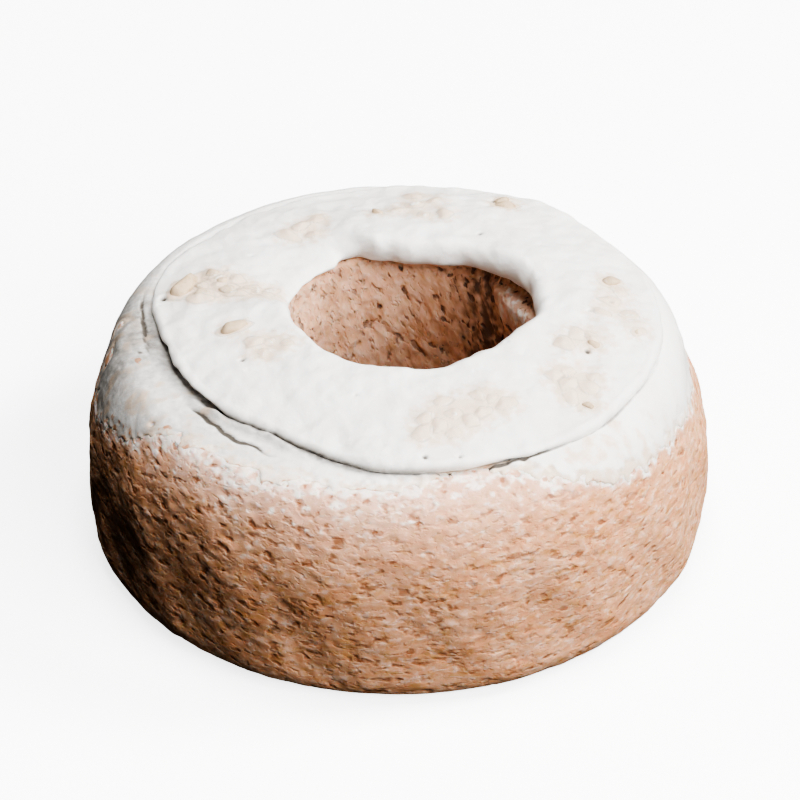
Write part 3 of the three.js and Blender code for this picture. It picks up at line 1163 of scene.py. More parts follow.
@dataclass
class CrumbRing:
    """The baked ring, from its flat base to the icing, with its pores cut into the mesh."""

    form: CakeForm
    columns: int = 680
    join_radius: float = 72.0
    wall_step: float = 0.9
    hole_step: float = 1.0
    plain_step: float = 12.0
    # Less painted shade in the pores at the front right.
    calm: Swell = Swell(318, 47, 4, 0.35)
    film_length: float = 1.6
    film_front: Swell = Swell(258, 44, 6, 16.0)
    film_share: float = 0.78
    hole_film: float = 0.1
    # Painted light on the ledge in the hole: a paler film.
    ledge_painted_light: float = 0.13
    # Painted shade on the right side of the hole.
    hole_side_painted_shade: Swell = Swell(10, 58, 4, 2.3)
    # Less painted pore shade on the ledge.
    ledge_less_painted_shade: float = 0.25
    # A groove under the cap's rim in the hole, cut into the crumb and darkened with the rim's painted
    # shadow.
    groove: Swell = Swell(62, 52, 6, 1.2)
    groove_drop: float = 1.0
    groove_fall: float = 0.75
    groove_width: float = 1.8
    groove_depth: float = 2.0

    def rows(self, profile: Profile, start: float, end: float, step: float) -> Array:
        """Space rows finely between two places of a profile, and widely on the flats outside them."""
        flat = self.plain_step
        return spaced((0, start, flat), (start, end, step), (end, profile.length, flat))

    def grid(
        self, profile: Profile, along: Array, columns: int, corner: float | None = None
    ) -> tuple[Array, Array, Array]:
        """Carry a profile round the ring and cut the pores.

        Args:
            profile: the run of (radius, height) points.
            along: where its rows are.
            columns: points in a ring.
            corner: where the profile meets the cake's top, or nothing for the hole's side.

        Returns:
            Points, painted shade and shares of icing film, with a row for each row of the grid.
        """
        form = self.form
        on, out = profile.at(along), profile.normal(along)
        radius, angle, height = np.broadcast_arrays(on[:, :1], round_ring(columns), on[:, 1:])
        plain = form.place_crumb(radius, angle, height)
        relief, painted_shade = form.pores(plain.reshape(-1, 3), corner is None)
        still = form.stillness(radius, height)
        relief, painted_shade = relief.reshape(radius.shape) * still, painted_shade.reshape(radius.shape) * still
        if corner is None:
            middle = form.cake_top - self.groove_drop - self.groove_fall * summed(form.rim_bulges, angle)
            groove = self.groove(angle) * hump(height, middle, self.groove_width)
            # Cut the groove and paint the rim's shadow along it.
            relief, painted_shade = relief - self.groove_depth * groove, np.maximum(painted_shade, groove)
            ledge = form.hole_ledge(angle, height)
            # Painted shade on the hole's right side, which faces away from the key light, but not on the
            # ledge.
            painted_shade = np.maximum(painted_shade, self.hole_side_painted_shade(angle) * still * (1 - ledge / form.ledge.depth))
            # The ledge gets painted light: less pore shade and a paler film.
            painted_shade = painted_shade - self.ledge_less_painted_shade * ledge
            film = self.hole_film + self.ledge_painted_light * ledge
        else:
            past = np.broadcast_to(corner - along[:, None], radius.shape)
            reach = form.smear(plain.reshape(-1, 3), past, angle)
            _, _, imprint = form.covered(reach)
            # The pores' painted shade, less at the front right.
            relief, painted_shade = relief * imprint, painted_shade - self.calm(angle)
            film = self.film(reach, angle)
        ways = polar(out[:, :1], angle, out[:, 1:])
        return plain + relief[..., None] * ways, painted_shade, film

    def film(self, reach: Array, angle: Array) -> Array:
        """Work out the icing film on the crumb: whole under the smear, and dying away past its edge.

        It is a mix of two falls, exp(distance past the edge / length), a short one and a long one.

        Args:
            reach: how far the smear reaches past each point.
            angle: angle of each point.

        Returns:
            Shares from 0 to 1.
        """
        past = np.minimum(reach, 0)
        near = np.exp(past / self.film_length)
        far = np.exp(past / (self.film_length + self.film_front(angle)))
        return mixed(near, far, self.film_share)

    def surface(self) -> Surface:
        """Work out the whole ring: a fine grid outside, a coarser one in the hole, and two joins.

        Returns:
            The surface, with the wall's finish first and the hole's after it.
        """
        form = self.form
        outer = form.outer_run(self.join_radius, self.join_radius)
        hole = form.hole_run(self.join_radius, self.join_radius)
        flat = form.foot_radius - self.join_radius
        corner = outer.length - (form.top_radius - self.join_radius)
        outer_rows = self.rows(outer, flat, corner, self.wall_step)
        hole_flat = self.join_radius - form.hole_top_radius - form.hole_edge
        hole_end = hole.length - (self.join_radius - form.hole_foot_radius - form.hole_edge)
        hole_rows = self.rows(hole, hole_flat, hole_end, self.hole_step)[1:-1]
        half = self.columns // 2
        outer_points, outer_painted_shade, outer_film = self.grid(outer, outer_rows, self.columns, corner)
        hole_points, hole_painted_shade, hole_film = self.grid(hole, hole_rows, half)
        start = len(outer_rows) * self.columns
        last = start + (len(hole_rows) - 1) * half
        faces = [
            Surface.bands(len(outer_rows), self.columns),
            Surface.bands(len(hole_rows), half, start),
            *self.join(start - self.columns, start),
            *[block[:, ::-1] for block in self.join(0, last)],
        ]
        values = {
            "painted_shade": np.concatenate([outer_painted_shade.ravel(), hole_painted_shade.ravel()]),
            "film": np.concatenate([outer_film.ravel(), hole_film.ravel()]),
        }
        points = np.concatenate([outer_points.reshape(-1, 3), hole_points.reshape(-1, 3)])
        return Surface(points, faces, values, [0] + [1] * (len(faces) - 1))

    def join(self, fine: int, coarse: int) -> list[Array]:
        """Give the faces between a fine ring and a ring of half its points.

        Args:
            fine: index of the fine ring's first point.
            coarse: index of the coarse ring's first point.

        Returns:
            Three blocks of triangles, with one of each for every step of the coarse ring.
        """
        half = self.columns // 2
        step = np.arange(half)
        near, mid, far = 2 * step + fine, 2 * step + 1 + fine, (2 * step + 2) % self.columns + fine
        here, there = step + coarse, (step + 1) % half + coarse
        sides = [(near, mid, here), (mid, there, here), (mid, far, there)]
        return [np.stack(side, axis=-1) for side in sides]

    def build(self) -> bpy.types.Object:
        """Make the piece and dress it.

        Returns:
            The piece.
        """
        piece = self.surface().put("crumb_ring")
        piece.data.materials.append(CrumbFinish().make())
        piece.data.materials.append(CUT_CRUMB.make())
        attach(piece, BODY)
        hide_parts(Node.CAKE_RING.value)
        return piece


@dataclass(frozen=True)
class Dent:
    """A small mark in the icing, by its place from above."""

    x: float
    y: float
    size: float
    depth: float

    def __call__(self, points: Array) -> Array:
        """Give the mark's depth at points: depth times exp(-(distance from above / size)²)."""
        away = np.hypot(points[..., 0] - self.x, points[..., 1] - self.y)
        return self.depth * hump(away, 0, self.size)


@dataclass(frozen=True)
class Crack:
    """A crack in the coat on the cake's flat top: its depth round the ring, radius, drift and width."""

    span: Swell
    radius: float
    drift: float
    width: float

    def radius_at(self, angle: Array) -> Array:
        """Give the crack's radius, which drifts evenly with the angle in radians."""
        return self.radius + self.drift * turn_from(self.span.angle, angle)


@dataclass
class IcingCoat:
    """The thin coat of icing smeared down the shoulder, with a ragged lower edge."""

    form: CakeForm
    columns: int = 900
    rows: int = 76
    inner_rows: int = 4
    tuck: float = 7.0
    under_tuck: float = 2.5
    spare: float = 9.0
    edge_thickness: float = 0.28
    least_thickness: float = 0.15
    lip_thickness: float = 1.4
    lip_fall: float = 7.0
    lip_right: Swell = Swell(335, 50, 4, 1.0)
    swell: Ripple = Ripple(14.0, 0.35, 71)
    lumps: Ripple = Ripple(5.0, 1.0, 71)
    lump_height: float = 0.1
    grain: Ripple = Ripple(2.2, 0.04, 71)
    drags: Ripple = Ripple(3.0, 0.08, 74)
    crease_depth: float = 0.3
    crease_deep: Swell = Swell(208, 22, 4, 1.5)
    crease_width: float = 0.7
    crease_wide: Swell = Swell(204, 17, 4, 2.0)
    crease_middle: float = 0.4
    crease_lumps: float = 0.4
    # Painted shade in the crease beside the lip.
    crease_shades: tuple[Swell, ...] = (
        Swell(208, 22, 4, 0.1),
        Swell(262, 24, 4, 0.25),
        Swell(292, 13, 4, 1.5),
        Swell(322, 26, 4, 0.8),
    )
    # A soft band of painted shade below the lip.
    soft_crease_painted_shade: Swell = Swell(250, 37, 6, 0.64)
    crease_soft_span: Pair = (1.0, 2.4)
    bead: Swell = Swell(227, 18, 4, 1.7)
    bead_span: Pair = (3.6, 1.5)
    bead_lumps: float = 0.5
    cracks: tuple[Crack, ...] = (
        Crack(Swell(226, 11, 4, 2.2), 84.8, 0.0, 0.48),
        Crack(Swell(177, 10, 4, 1.0), 89.7, -12.5, 0.4),
    )
    crack_wander: float = 0.8
    crack_shade: float = 0.85
    sink: float = 1.1
    depth: float = 1.6
    thin_reach: float = 7.0
    thin_stain: float = 0.55
    thin_front: Swell = Swell(300, 22, 4, 0.3)
    worn_reach: float = 4.5
    worn_left: Swell = Swell(198, 24, 4, 10.0)
    worn_front: Swell = Swell(255, 90, 6, 0.85)
    streaks: Ripple = Ripple(4.0, 1.0, 75)
    streak_edge: Pair = (-0.2, 0.8)
    streak_stain: float = 0.12
    streak_sides: tuple[Swell, ...] = (Swell(194, 42, 4, 0.45), Swell(317, 15, 4, 0.4))
    # Greyer icing on the left: thin icing over dark crumb, and painted shade.
    left_shades: tuple[Swell, ...] = (Swell(207, 48, 4, 0.48), Swell(170, 24, 4, 0.32))
    # A dark spot on the left: painted shade of a small hole in the coat.
    mark: Dent = Dent(-89.3, -13.4, 1.5, 1.2)
    mark_worn: Dent = Dent(-90.0, -17.4, 2.8, 1.25)
    EDGE_SAMPLES: ClassVar[int] = 360

    def skin(self) -> tuple[Profile, float]:
        """Work out the cake's skin from inside the cap's lip down to the wall.

        Returns:
            The skin's profile, and where the corner of the cake's top is along it.
        """
        form = self.form
        innermost = form.cap_edge(np.linspace(0, 2 * math.pi, self.EDGE_SAMPLES)).min()
        start = form.cap_radius + innermost - self.tuck
        run = Profile(
            Profile.line((start, form.cake_top), (form.top_radius, form.cake_top)),
            Profile.arc((form.top_radius, form.shoulder_start), form.shoulder, 90, 0),
            Profile.line((form.wall_radius, form.shoulder_start), (form.wall_radius, form.foot_round)),
        )
        return run, form.top_radius - start

    def surface(self) -> Surface:
        """Work out the coat: an outer grid that follows the crumb at its edge, and a sunk inner side.

        Returns:
            The surface, whose hidden inner side has no tones.
        """
        form = self.form
        skin, corner = self.skin()
        ring = round_ring(self.columns)
        lip = corner + form.cap_radius + form.cap_edge(ring) - form.top_radius
        end = np.maximum(corner + form.coat_edge(ring), lip) + self.spare
        along = mixed(lip - self.tuck, end, np.linspace(0, 1, self.rows)[:, None])
        on, out = skin.at(along), -skin.normal(along)
        angle = np.broadcast_to(ring, along.shape)
        plain = form.place_crumb(on[..., 0], angle, on[..., 1])
        spots = plain.reshape(-1, 3)
        relief = form.pores(spots)[0].reshape(along.shape) * form.stillness(on[..., 0], on[..., 1])
        reach = form.smear(spots, along - corner, angle)
        height, shade = self.height(spots, along - lip, along - corner, angle, reach, relief)
        ways = polar(out[..., 0], angle, out[..., 1])
        outer = plain + height[..., None] * ways
        kept_rows = np.linspace(self.rows - 1, 0, self.inner_rows).round().astype(int)
        inner = (plain - (self.depth + np.abs(height))[..., None] * ways)[kept_rows]
        points = np.concatenate([outer.reshape(-1, 3), inner.reshape(-1, 3)])
        faces = [Surface.bands(self.rows + self.inner_rows, self.columns, shut=True)[:, ::-1]]
        hidden = np.zeros(inner[..., 0].size)
        tones = self.tones(plain, angle, reach, shade)
        values = {name: np.concatenate([tone.ravel(), hidden]) for name, tone in tones.items()}
        return Surface(points, faces, values)

    def tones(self, plain: Array, angle: Array, reach: Array, shade: Array) -> dict[str, Array]:
        """Work out the values that the finish reads.

        Beige grows where the smear thins out towards its edge and in streaks that run down it. The left
        is greyer, partly from thin icing and partly from painted shade, a small dark spot is painted
        shade, and crumb shows through beside the edge and at one worn mark.

        Args:
            plain: points on the plain ring.
            angle: angle of each point.
            reach: how far the smear reaches past each point.
            shade: the painted shade in the crease, in the soft band below the lip and in the cracks.

        Returns:
            The values by name, with one number for each point.
        """
        thin = (self.thin_stain + self.thin_front(angle)) * (1 - smooth(0, self.thin_reach, reach))
        streaks = self.streaks(plain.reshape(-1, 3) * self.form.finger_stretch).reshape(angle.shape)
        strength = self.streak_stain + summed(self.streak_sides, angle)
        grey_and_painted_shade = summed(self.left_shades, angle) * smooth(0, self.worn_reach, reach)
        worn = self.worn_front(angle) * (1 - smooth(0, self.worn_reach + self.worn_left(angle), reach))
        # The dark value holds painted shade: the crease and cracks, the greyer left and the dark spot.
        return {
            "stain": thin + strength * smooth(*self.streak_edge, streaks),
            "dent_and_painted_shade": np.maximum(shade + grey_and_painted_shade, self.mark(plain)),
            "thin": np.maximum(worn, self.mark_worn(plain)),
        }

    def height(
        self, points: Array, past_lip: Array, past: Array, angle: Array, reach: Array, relief: Array
    ) -> tuple[Array, Array]:
        """Work out how far the coat stands out from the plain ring.

        Inside its edge the thickness goes from the edge's to the lip's by exp(-distance from the lip /
        fall). A lumpy bead is added to it, and a crease beside the lip and cracks are cut from it, each
        a hump across its width. Past the edge the coat follows the crumb, sunk below it.

        Args:
            points: rows of x, y and z on the plain ring.
            past_lip: distance down the skin from the cap's lip.
            past: distance down the skin from the corner of the cake's top.
            angle: angle of each point.
            reach: how far the smear reaches past each point.
            relief: height of the crumb.

        Returns:
            Heights in millimetres, and the painted shade in the crease, in a soft band below the lip and in
            the cracks, from 0 to 1.
        """
        lumps = self.lumps(points).reshape(past.shape)
        swell = self.swell(points).reshape(past.shape)
        fine = (self.grain(points) + self.drags(points * self.form.finger_stretch)).reshape(past.shape)
        cover, full, imprint = self.form.covered(reach)
        thick = self.lip_thickness + self.lip_right(angle)
        body = mixed(self.edge_thickness, thick, np.exp(-np.maximum(past_lip, 0) / self.lip_fall))
        body = body * (1 - smooth(0, self.under_tuck, -past_lip)) * full
        bead = self.bead(angle) * hump(past_lip, *self.bead_span)
        body = body + bead * (1 + self.bead_lumps * lumps)
        rough = swell + full * (self.lump_height * lumps + fine)
        width = self.crease_width + self.crease_wide(angle)
        crease = hump(past_lip, self.crease_middle * width, width)
        cut = (self.crease_depth + self.crease_deep(angle)) * crease
        # Painted shade in the crease and in a soft band below the lip.
        shade = summed(self.crease_shades, angle) * crease * (1 + self.crease_lumps * lumps)
        shade = np.maximum(shade, self.soft_crease_painted_shade(angle) * hump(past_lip, *self.crease_soft_span))
        radius = past + self.form.top_radius + self.crack_wander * lumps
        for crack in self.cracks:
            groove = crack.span(angle) * hump(radius, crack.radius_at(angle), crack.width)
            cut = cut + groove
            # Painted shade in each crack.
            shade = np.maximum(shade, self.crack_shade * groove)
        inside = smooth(-self.under_tuck, 0, past_lip)
        stand = np.maximum(body + inside * (rough - cut), self.least_thickness * full)
        return relief * imprint + cover * stand - self.sink * (1 - cover), shade

    def build(self, finish: bpy.types.Material) -> bpy.types.Object:
        """Make the piece and dress it.

        Args:
            finish: the icing's material.

        Returns:
            The piece.
        """
        piece = self.surface().put("icing_coat_smear")
        piece.data.materials.append(finish)
        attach(piece, BODY)
        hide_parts(Node.ICING_COAT.value)
        return piece


@dataclass(frozen=True)
class NutGroup:
    """A group of chopped nuts: its middle on the cap, its spread, its pieces and how bare they are."""

    angle: float
    radius: float
    spread: float
    count: int
    size: float
    bare: float = 0.25


@dataclass
class IcingCap:
    """The thick icing cap with its lip, the ramp and the bulge at the hole, and mounds round the nuts."""

    form: CakeForm
    columns: int = 800
    top_step: float = 0.7
    edge_step: float = 0.5
    plain_step: float = 8.0
    crown_share: float = 0.45
    crown_drop: float = 0.8
    knife_clearance: float = 0.6
    knife_marks: Waves = Waves(0.55, 2, 3, 0.11, 4)
    ramp: Swell = Swell(146, 31, 6, 1.0)
    ramp_depth: float = 0.7
    ramp_back: float = 1.5
    ramp_falloff: float = 1.5
    slump: Swell = Swell(128, 44, 4, 3.4)
    gapes: tuple[Swell, ...] = (Swell(204, 19, 4, 2.7), Swell(293, 13, 4, 0.5))
    gape_share: Pair = (0.84, 0.96)
    swells: tuple[Ripple, ...] = (Ripple(16.0, 0.4, 71), Ripple(7.0, 0.5, 72), Ripple(3.4, 0.28, 73))
    strokes: Ripple = Ripple(3.4, 0.14, 74)
    stroke_stretch: Triple = (0.22, 1.0, 1.0)
    pricks: Dimples = Dimples(9.0, 0.6, (0.06, 0.13), 0.6, 81)
    prick_stretch: Triple = (0.7, 1.1, 1.0)
    # Small dents, sunk into the icing and darkened with painted shade.
    dents: tuple[Dent, ...] = (
        Dent(-82.7, 16.5, 1.3, 1.3),
        Dent(-53.1, -28.4, 1.0, 1.1),
        Dent(66.0, -23.6, 1.2, 1.3),
        Dent(9.5, -80.6, 1.1, 1.1),
        Dent(21.1, -80.0, 0.8, 1.0),
        Dent(30.1, 48.7, 1.0, 0.9),
        Dent(36.0, 75.5, 1.2, 1.1),
    )
    # Painted shade on the lower side of the outer lip, at the front left and the front.
    lip_shades: tuple[Swell, ...] = (Swell(208, 22, 4, 0.4), Swell(253, 31, 6, 0.8))
    lip_shade_fade: Pair = (0.35, 1.0)

    @property
    def top_radii(self) -> Pair:
        """Radii of the top's ends, where the rim round the hole and the outer lip start."""
        return self.form.cap_hole_radius + self.form.rim_round, self.form.cap_radius - self.form.lip_round

    def place(self, radius: Array, angle: Array, height: Array) -> Array:
        """Stretch a point of the round cap between the shifted hole and the uneven outer edge.

        The share runs from 0 at the hole to 1 at the outer edge. It weighs the edge's change and the
        slump, and the rest weighs the rim's bulges, the ramp and the hole's shift. A gape lifts the
        foot of the lip, and the knife's waves are added above it.

        Args:
            radius: radius of each point on the round cap.
            angle: angle of each point.
            height: height of each point.

        Returns:
            Points as x, y and z.
        """
        form = self.form
        share = (radius - form.cap_hole_radius) / (form.cap_radius - form.cap_hole_radius)
        share = np.clip(share, 0, 1)
        near_hole = 1 - share
        ramp = self.ramp(angle)
        above = height - form.cap_bottom
        clear = np.clip(above / form.lip_round - self.knife_clearance, 0, 1)
        lowered = 1 - self.ramp_depth * ramp * near_hole**self.ramp_falloff
        lowered = lowered - self.slump(angle) * share * share / form.lip_height
        inward = summed(form.rim_bulges, angle) - self.ramp_back * ramp
        reach = radius - near_hole * inward + share * form.cap_edge(angle)
        gape = summed(self.gapes, angle) * smooth(*self.gape_share, share)
        raised = gape * (1 - np.clip(above / form.lip_height, 0, 1))
        lift = form.cap_bottom + above * lowered + raised + self.knife_marks(angle, radius) * clear
        return polar(reach, angle, lift) + near_hole[..., None] * form.hole_shift

    def top_run(self) -> Array:
        """Work out the plain cap's top, from the rim round the hole to the outer lip.

        Returns:
            Rows of (radius, height).
        """
        form = self.form
        rim, lip = self.top_radii
        middle = mixed(form.cap_hole_radius, form.cap_radius, self.crown_share)
        return Profile.bend(
            np.array([rim, form.cap_rim_top]),
            np.array([middle, form.cap_rim_top - self.crown_drop]),
            np.array([lip, form.cap_lip_top]),
        )

    def top_at(self, radius: Array) -> Array:
        """Height of the plain cap's top at a radius."""
        run = self.top_run()
        return np.interp(radius, run[:, 0], run[:, 1])

    def profile(self) -> Profile:
        """Work out the plain cap's closed profile.

        Returns:
            The underside, the outer lip, the top and the rim round the hole, as one run.
        """
        form = self.form
        rim, lip = self.top_radii
        low = form.cap_bottom
        rim_half, lip_half = (form.cap_rim_top - low) / 2, form.lip_height / 2
        return Profile(
            Profile.line((rim, low), (lip, low)),
            Profile.arc((lip, low + lip_half), (form.lip_round, lip_half), -90, 90),
            self.top_run()[::-1],
            Profile.arc((rim, low + rim_half), (form.rim_round, rim_half), 90, 270),
        )

    def surface(self, nuts: "ChoppedNuts") -> Surface:
        """Work out the cap: a closed profile carried round the ring, then mounds, swells and dents.

        Args:
            nuts: the chopped nuts, which raise and stain the icing and paint shade in the creases round
                them.

        Returns:
            The surface, whose underside stays plain.
        """
        form = self.form
        profile = self.profile()
        marks = profile.along[:: Profile.STEPS - 1]
        sizes = (self.plain_step, self.edge_step, self.top_step, self.edge_step)
        along = spaced(*zip(marks[:-1], marks[1:], sizes))[:-1]
        angle = round_ring(self.columns)
        on, out = profile.at(along), profile.normal(along)
        plain = self.place(*np.broadcast_arrays(on[:, :1], angle, on[:, 1:]))
        ways = polar(out[:, :1], angle, out[:, 1:])
        points = plain.reshape(-1, 3)
        mound, stain, crease = nuts.mounds(points)
        open_side = np.broadcast_to((along > marks[1])[:, None], plain.shape[:2]).ravel()
        swell = sum(ripple(points) for ripple in self.swells) + self.strokes(points * self.stroke_stretch)
        pricks = self.pricks(points * self.prick_stretch)
        # Dents and pricks sink the icing, and the same value paints shade into them.
        dent_and_painted_shade = np.max([pricks] + [mark(points) for mark in self.dents], axis=0)
        lift = open_side * (swell + mound - dent_and_painted_shade)
        points = points + lift[:, None] * ways.reshape(-1, 3)
        faces = [Surface.bands(len(along), self.columns, shut=True)]
        # Painted shade on the lip's lower side, and in the creases round the nuts, joins the dents' painted
        # shade.
        low = 1 - smooth(*self.lip_shade_fade, (on[:, 1:] - form.cap_bottom) / form.lip_height)
        outer = smooth(self.top_radii[1], form.cap_radius, on[:, :1])
        lip_painted_shade = summed(self.lip_shades, angle) * outer * low
        dark = np.maximum(np.maximum(dent_and_painted_shade, crease) * open_side, lip_painted_shade.ravel())
        return Surface(points, faces, {"stain": stain * open_side, "dent_and_painted_shade": dark})

    def build(self, nuts: "ChoppedNuts", finish: bpy.types.Material) -> bpy.types.Object:
        """Make the piece and dress it.

        Args:
            nuts: the chopped nuts, which raise and stain the icing.
            finish: the icing's material.

        Returns:
            The piece.
        """
        piece = self.surface(nuts).put("icing_cap_spread")
        piece.data.materials.append(finish)
        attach(piece, BODY)
        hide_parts(Node.ICING_CAP.value)
        return piece


@dataclass
class ChoppedNuts:
    """Chopped nuts set in the cap, as one joined mesh of angular chunks."""

    cap: IcingCap
    groups: tuple[NutGroup, ...] = (
        NutGroup(165, 86, 0, 1, 8.2, 0.7),
        NutGroup(166, 65, 9, 6, 3.8, 0.3),
        NutGroup(168, 52, 4, 3, 3.2),
        NutGroup(191.8, 67, 0, 1, 4.2, 1.0),
        NutGroup(209, 60, 8, 4, 3.0, 0.15),
        NutGroup(281, 73, 11, 7, 3.4, 0.15),
        NutGroup(297, 71, 7, 4, 3.2, 0.2),
        NutGroup(324, 76, 9, 6, 3.4),
        NutGroup(341, 64, 7, 3, 3.4),
        NutGroup(3, 76, 11, 4, 3.2),
        NutGroup(62, 81, 3, 2, 4.6, 0.8),
        NutGroup(84, 71, 12, 6, 3.2, 0.15),
        NutGroup(122, 65, 9, 4, 3.4),
        NutGroup(14, 76, 0, 1, 3.4, 0.6),
        NutGroup(352.5, 84, 0, 1, 3.4, 0.6),
        NutGroup(341.5, 71, 0, 1, 2.6, 1.0),
        NutGroup(320.6, 86, 0, 1, 2.4, 0.8),
        NutGroup(99, 67.3, 0, 1, 2.6, 0.7),
        NutGroup(164, 71, 9, 5, 4.6, 0.45),
    )
    width_share: float = 0.72
    width_spread: Pair = (0.8, 1.15)
    height_share: float = 0.56
    height_spread: Pair = (0.85, 1.15)
    sunk_share: Pair = (0.8, 0.3)
    sunk_edge: Pair = (0.2, 0.7)
    hole_clearance: float = 8.0
    size_spread: Pair = (0.75, 1.2)
    hash_steps: Triple = (12.9898, 78.233, 43758.5453)
    planes: int = 11
    plane_spread: Pair = (0.78, 1.05)
    plane_jitter: float = 0.3
    sharpness: float = 14.0
    across: int = 18
    up: int = 11
    icing_over: float = 1.5
    icing_bare: float = 0.1
    icing_edge: Pair = (0.3, 0.7)
    icing_soft: float = 0.02
    mound_reach: float = 2.6
    stain_edge: Pair = (0.9, 1.75)
    stain_spread: Pair = (0.9, 1.0)
    patch_reach: float = 6.5
    patch_strength: float = 0.5
    crease_painted_shade: float = 0.5
    crease_span: Pair = (1.35, 0.13)
    middles: Array = field(init=False)
    scale: Array = field(init=False)
    yaw: Array = field(init=False)
    bare: Array = field(init=False)
    facing: Array = field(init=False)
    distance: Array = field(init=False)

    def __post_init__(self) -> None:
        """Work out every chunk's size, place and planes: a sunflower pattern within each group."""
        form = self.cap.form
        count = [group.count for group in self.groups]
        rank = np.concatenate([np.arange(n) for n in count])
        angle, radius, spread, size, bare = (
            np.repeat([getattr(group, key) for group in self.groups], count)
            for key in ("angle", "radius", "spread", "size", "bare")
        )
        sizes = size * mixed(*self.size_spread, self.scatter(Draw.SIZE))
        out = spread * np.sqrt((rank + 0.5) / np.repeat(count, count))
        spot = polar(radius, np.radians(angle), 0) + polar(out, rank * GOLDEN_ANGLE + angle, 0)
        least, most = form.cap_hole_radius + self.hole_clearance, self.cap.top_radii[1] - sizes
        reach = np.clip(np.hypot(spot[:, 0], spot[:, 1]), least, most)
        middles = self.cap.place(reach, np.arctan2(spot[:, 1], spot[:, 0]), self.cap.top_at(reach))
        width = self.width_share * mixed(*self.width_spread, self.scatter(Draw.WIDTH))
        height = self.height_share * mixed(*self.height_spread, self.scatter(Draw.HEIGHT))
        self.scale = sizes[:, None] * np.stack([np.ones(len(sizes)), width, height], axis=-1)
        sunk = mixed(*self.sunk_share, smooth(*self.sunk_edge, bare))
        self.middles = middles - (sunk * self.scale[:, 2])[:, None] * (0.0, 0.0, 1.0)
        self.yaw = 2 * math.pi * self.scatter(Draw.YAW)
        self.bare = bare
        self.cut_planes(len(sizes))

    def cut_planes(self, chunks: int) -> None:
        """Draw the planes that cut each chunk, which face all ways evenly but for a jitter.

        Args:
            chunks: how many chunks there are.
        """
        chunk, plane = np.meshgrid(np.arange(chunks), np.arange(self.planes), indexing="ij")
        cells = np.stack([chunk, plane, np.zeros_like(plane)], axis=-1)
        jitter = self.plane_jitter * (Grain.draw(cells, Draw.PLANE_LIFT) - 0.5)
        lift = np.clip(2 * (plane + 0.5) / self.planes - 1 + jitter, -1, 1)
        spin = plane * GOLDEN_ANGLE + 2 * math.pi * Grain.draw(cells[:, :1], Draw.PLANE_SPIN)
        self.facing = polar(np.sqrt(1 - lift**2), spin, lift)
        self.distance = mixed(*self.plane_spread, Grain.draw(cells, Draw.PLANE_DISTANCE))

    def scatter(self, salt: Draw) -> Array:
        """Draw one number from 0 to 1 for every chunk: the part after the point of a large sine.

        Args:
            salt: what is drawn.

        Returns:
            The numbers in the chunks' order.
        """
        index = np.arange(1, sum(group.count for group in self.groups) + 1)
        index_step, salt_step, height = self.hash_steps
        wave = np.sin(index * index_step + salt * salt_step) * height
        return wave - np.floor(wave)

    def fullness(self, facing: Array, distance: Array, ways: Array) -> Array:
        """Tell how far out ways reach in a chunk, 1 being on its skin.

        A chunk is cut by planes: the value is the sum over the planes of (share of the way along the
        plane's facing / the plane's distance) to a high power, to one over that power.

        Args:
            facing: rows of the planes' unit facings.
            distance: the planes' distances.
            ways: rows of x, y and z in the chunk's own axes.

        Returns:
            One value for each way.
        """
        ratio = np.maximum(ways @ facing.T, 0.0) / distance
        return (ratio**self.sharpness).sum(axis=-1) ** (1 / self.sharpness)

    def mounds(self, points: Array) -> tuple[Array, Array, Array]:
        """Work out the icing over the chunks, the beige that shows through it and painted shade in the
        creases round it.

        Over a covered chunk the icing takes the chunk's own form, a little larger: the chunk's height
        times (1 - fullness / largest fullness), softly kept above 0. Round a bare one it is drawn up by
        a small share of that. A crease is a hump of the fullness.

        Args:
            points: rows of x, y and z on the cap.

        Returns:
            Heights in millimetres, and the beige's strength and the creases' painted shade from 0 to 1.
        """
        mound, stain, crease = np.zeros((3, len(points)))
        plain = np.ones(len(points))
        for middle, scale, yaw, bare, facing, distance in zip(
            self.middles, self.scale, self.yaw, self.bare, self.facing, self.distance
        ):
            offset = points - middle
            away = np.linalg.norm(offset, axis=-1)
            plain = plain * (1 - self.patch_strength * hump(away, 0, self.patch_reach))
            near = np.flatnonzero(away < self.mound_reach * scale[0])
            x, y, z = offset[near].T
            cos, sin = math.cos(yaw), math.sin(yaw)
            ways = np.stack([x * cos + y * sin, y * cos - x * sin, z], axis=-1) / scale
            full = self.fullness(facing, distance, ways)
            share = 1 - full / self.icing_over
            rise = 0.5 * (share + np.sqrt(share * share + self.icing_soft))
            cover = mixed(1.0, self.icing_bare, smooth(*self.icing_edge, bare))
            shown = mixed(*self.stain_spread, bare) * (1 - smooth(*self.stain_edge, full))
            # Painted shade in the crease where the icing meets the chunk.
            edge = self.crease_painted_shade * hump(full, *self.crease_span)
            layers = ((mound, cover * scale[2] * rise), (stain, shown), (crease, edge))
            for layer, value in layers:
                layer[near] = np.maximum(layer[near], value)
        return mound, np.maximum(stain, 1 - plain), crease

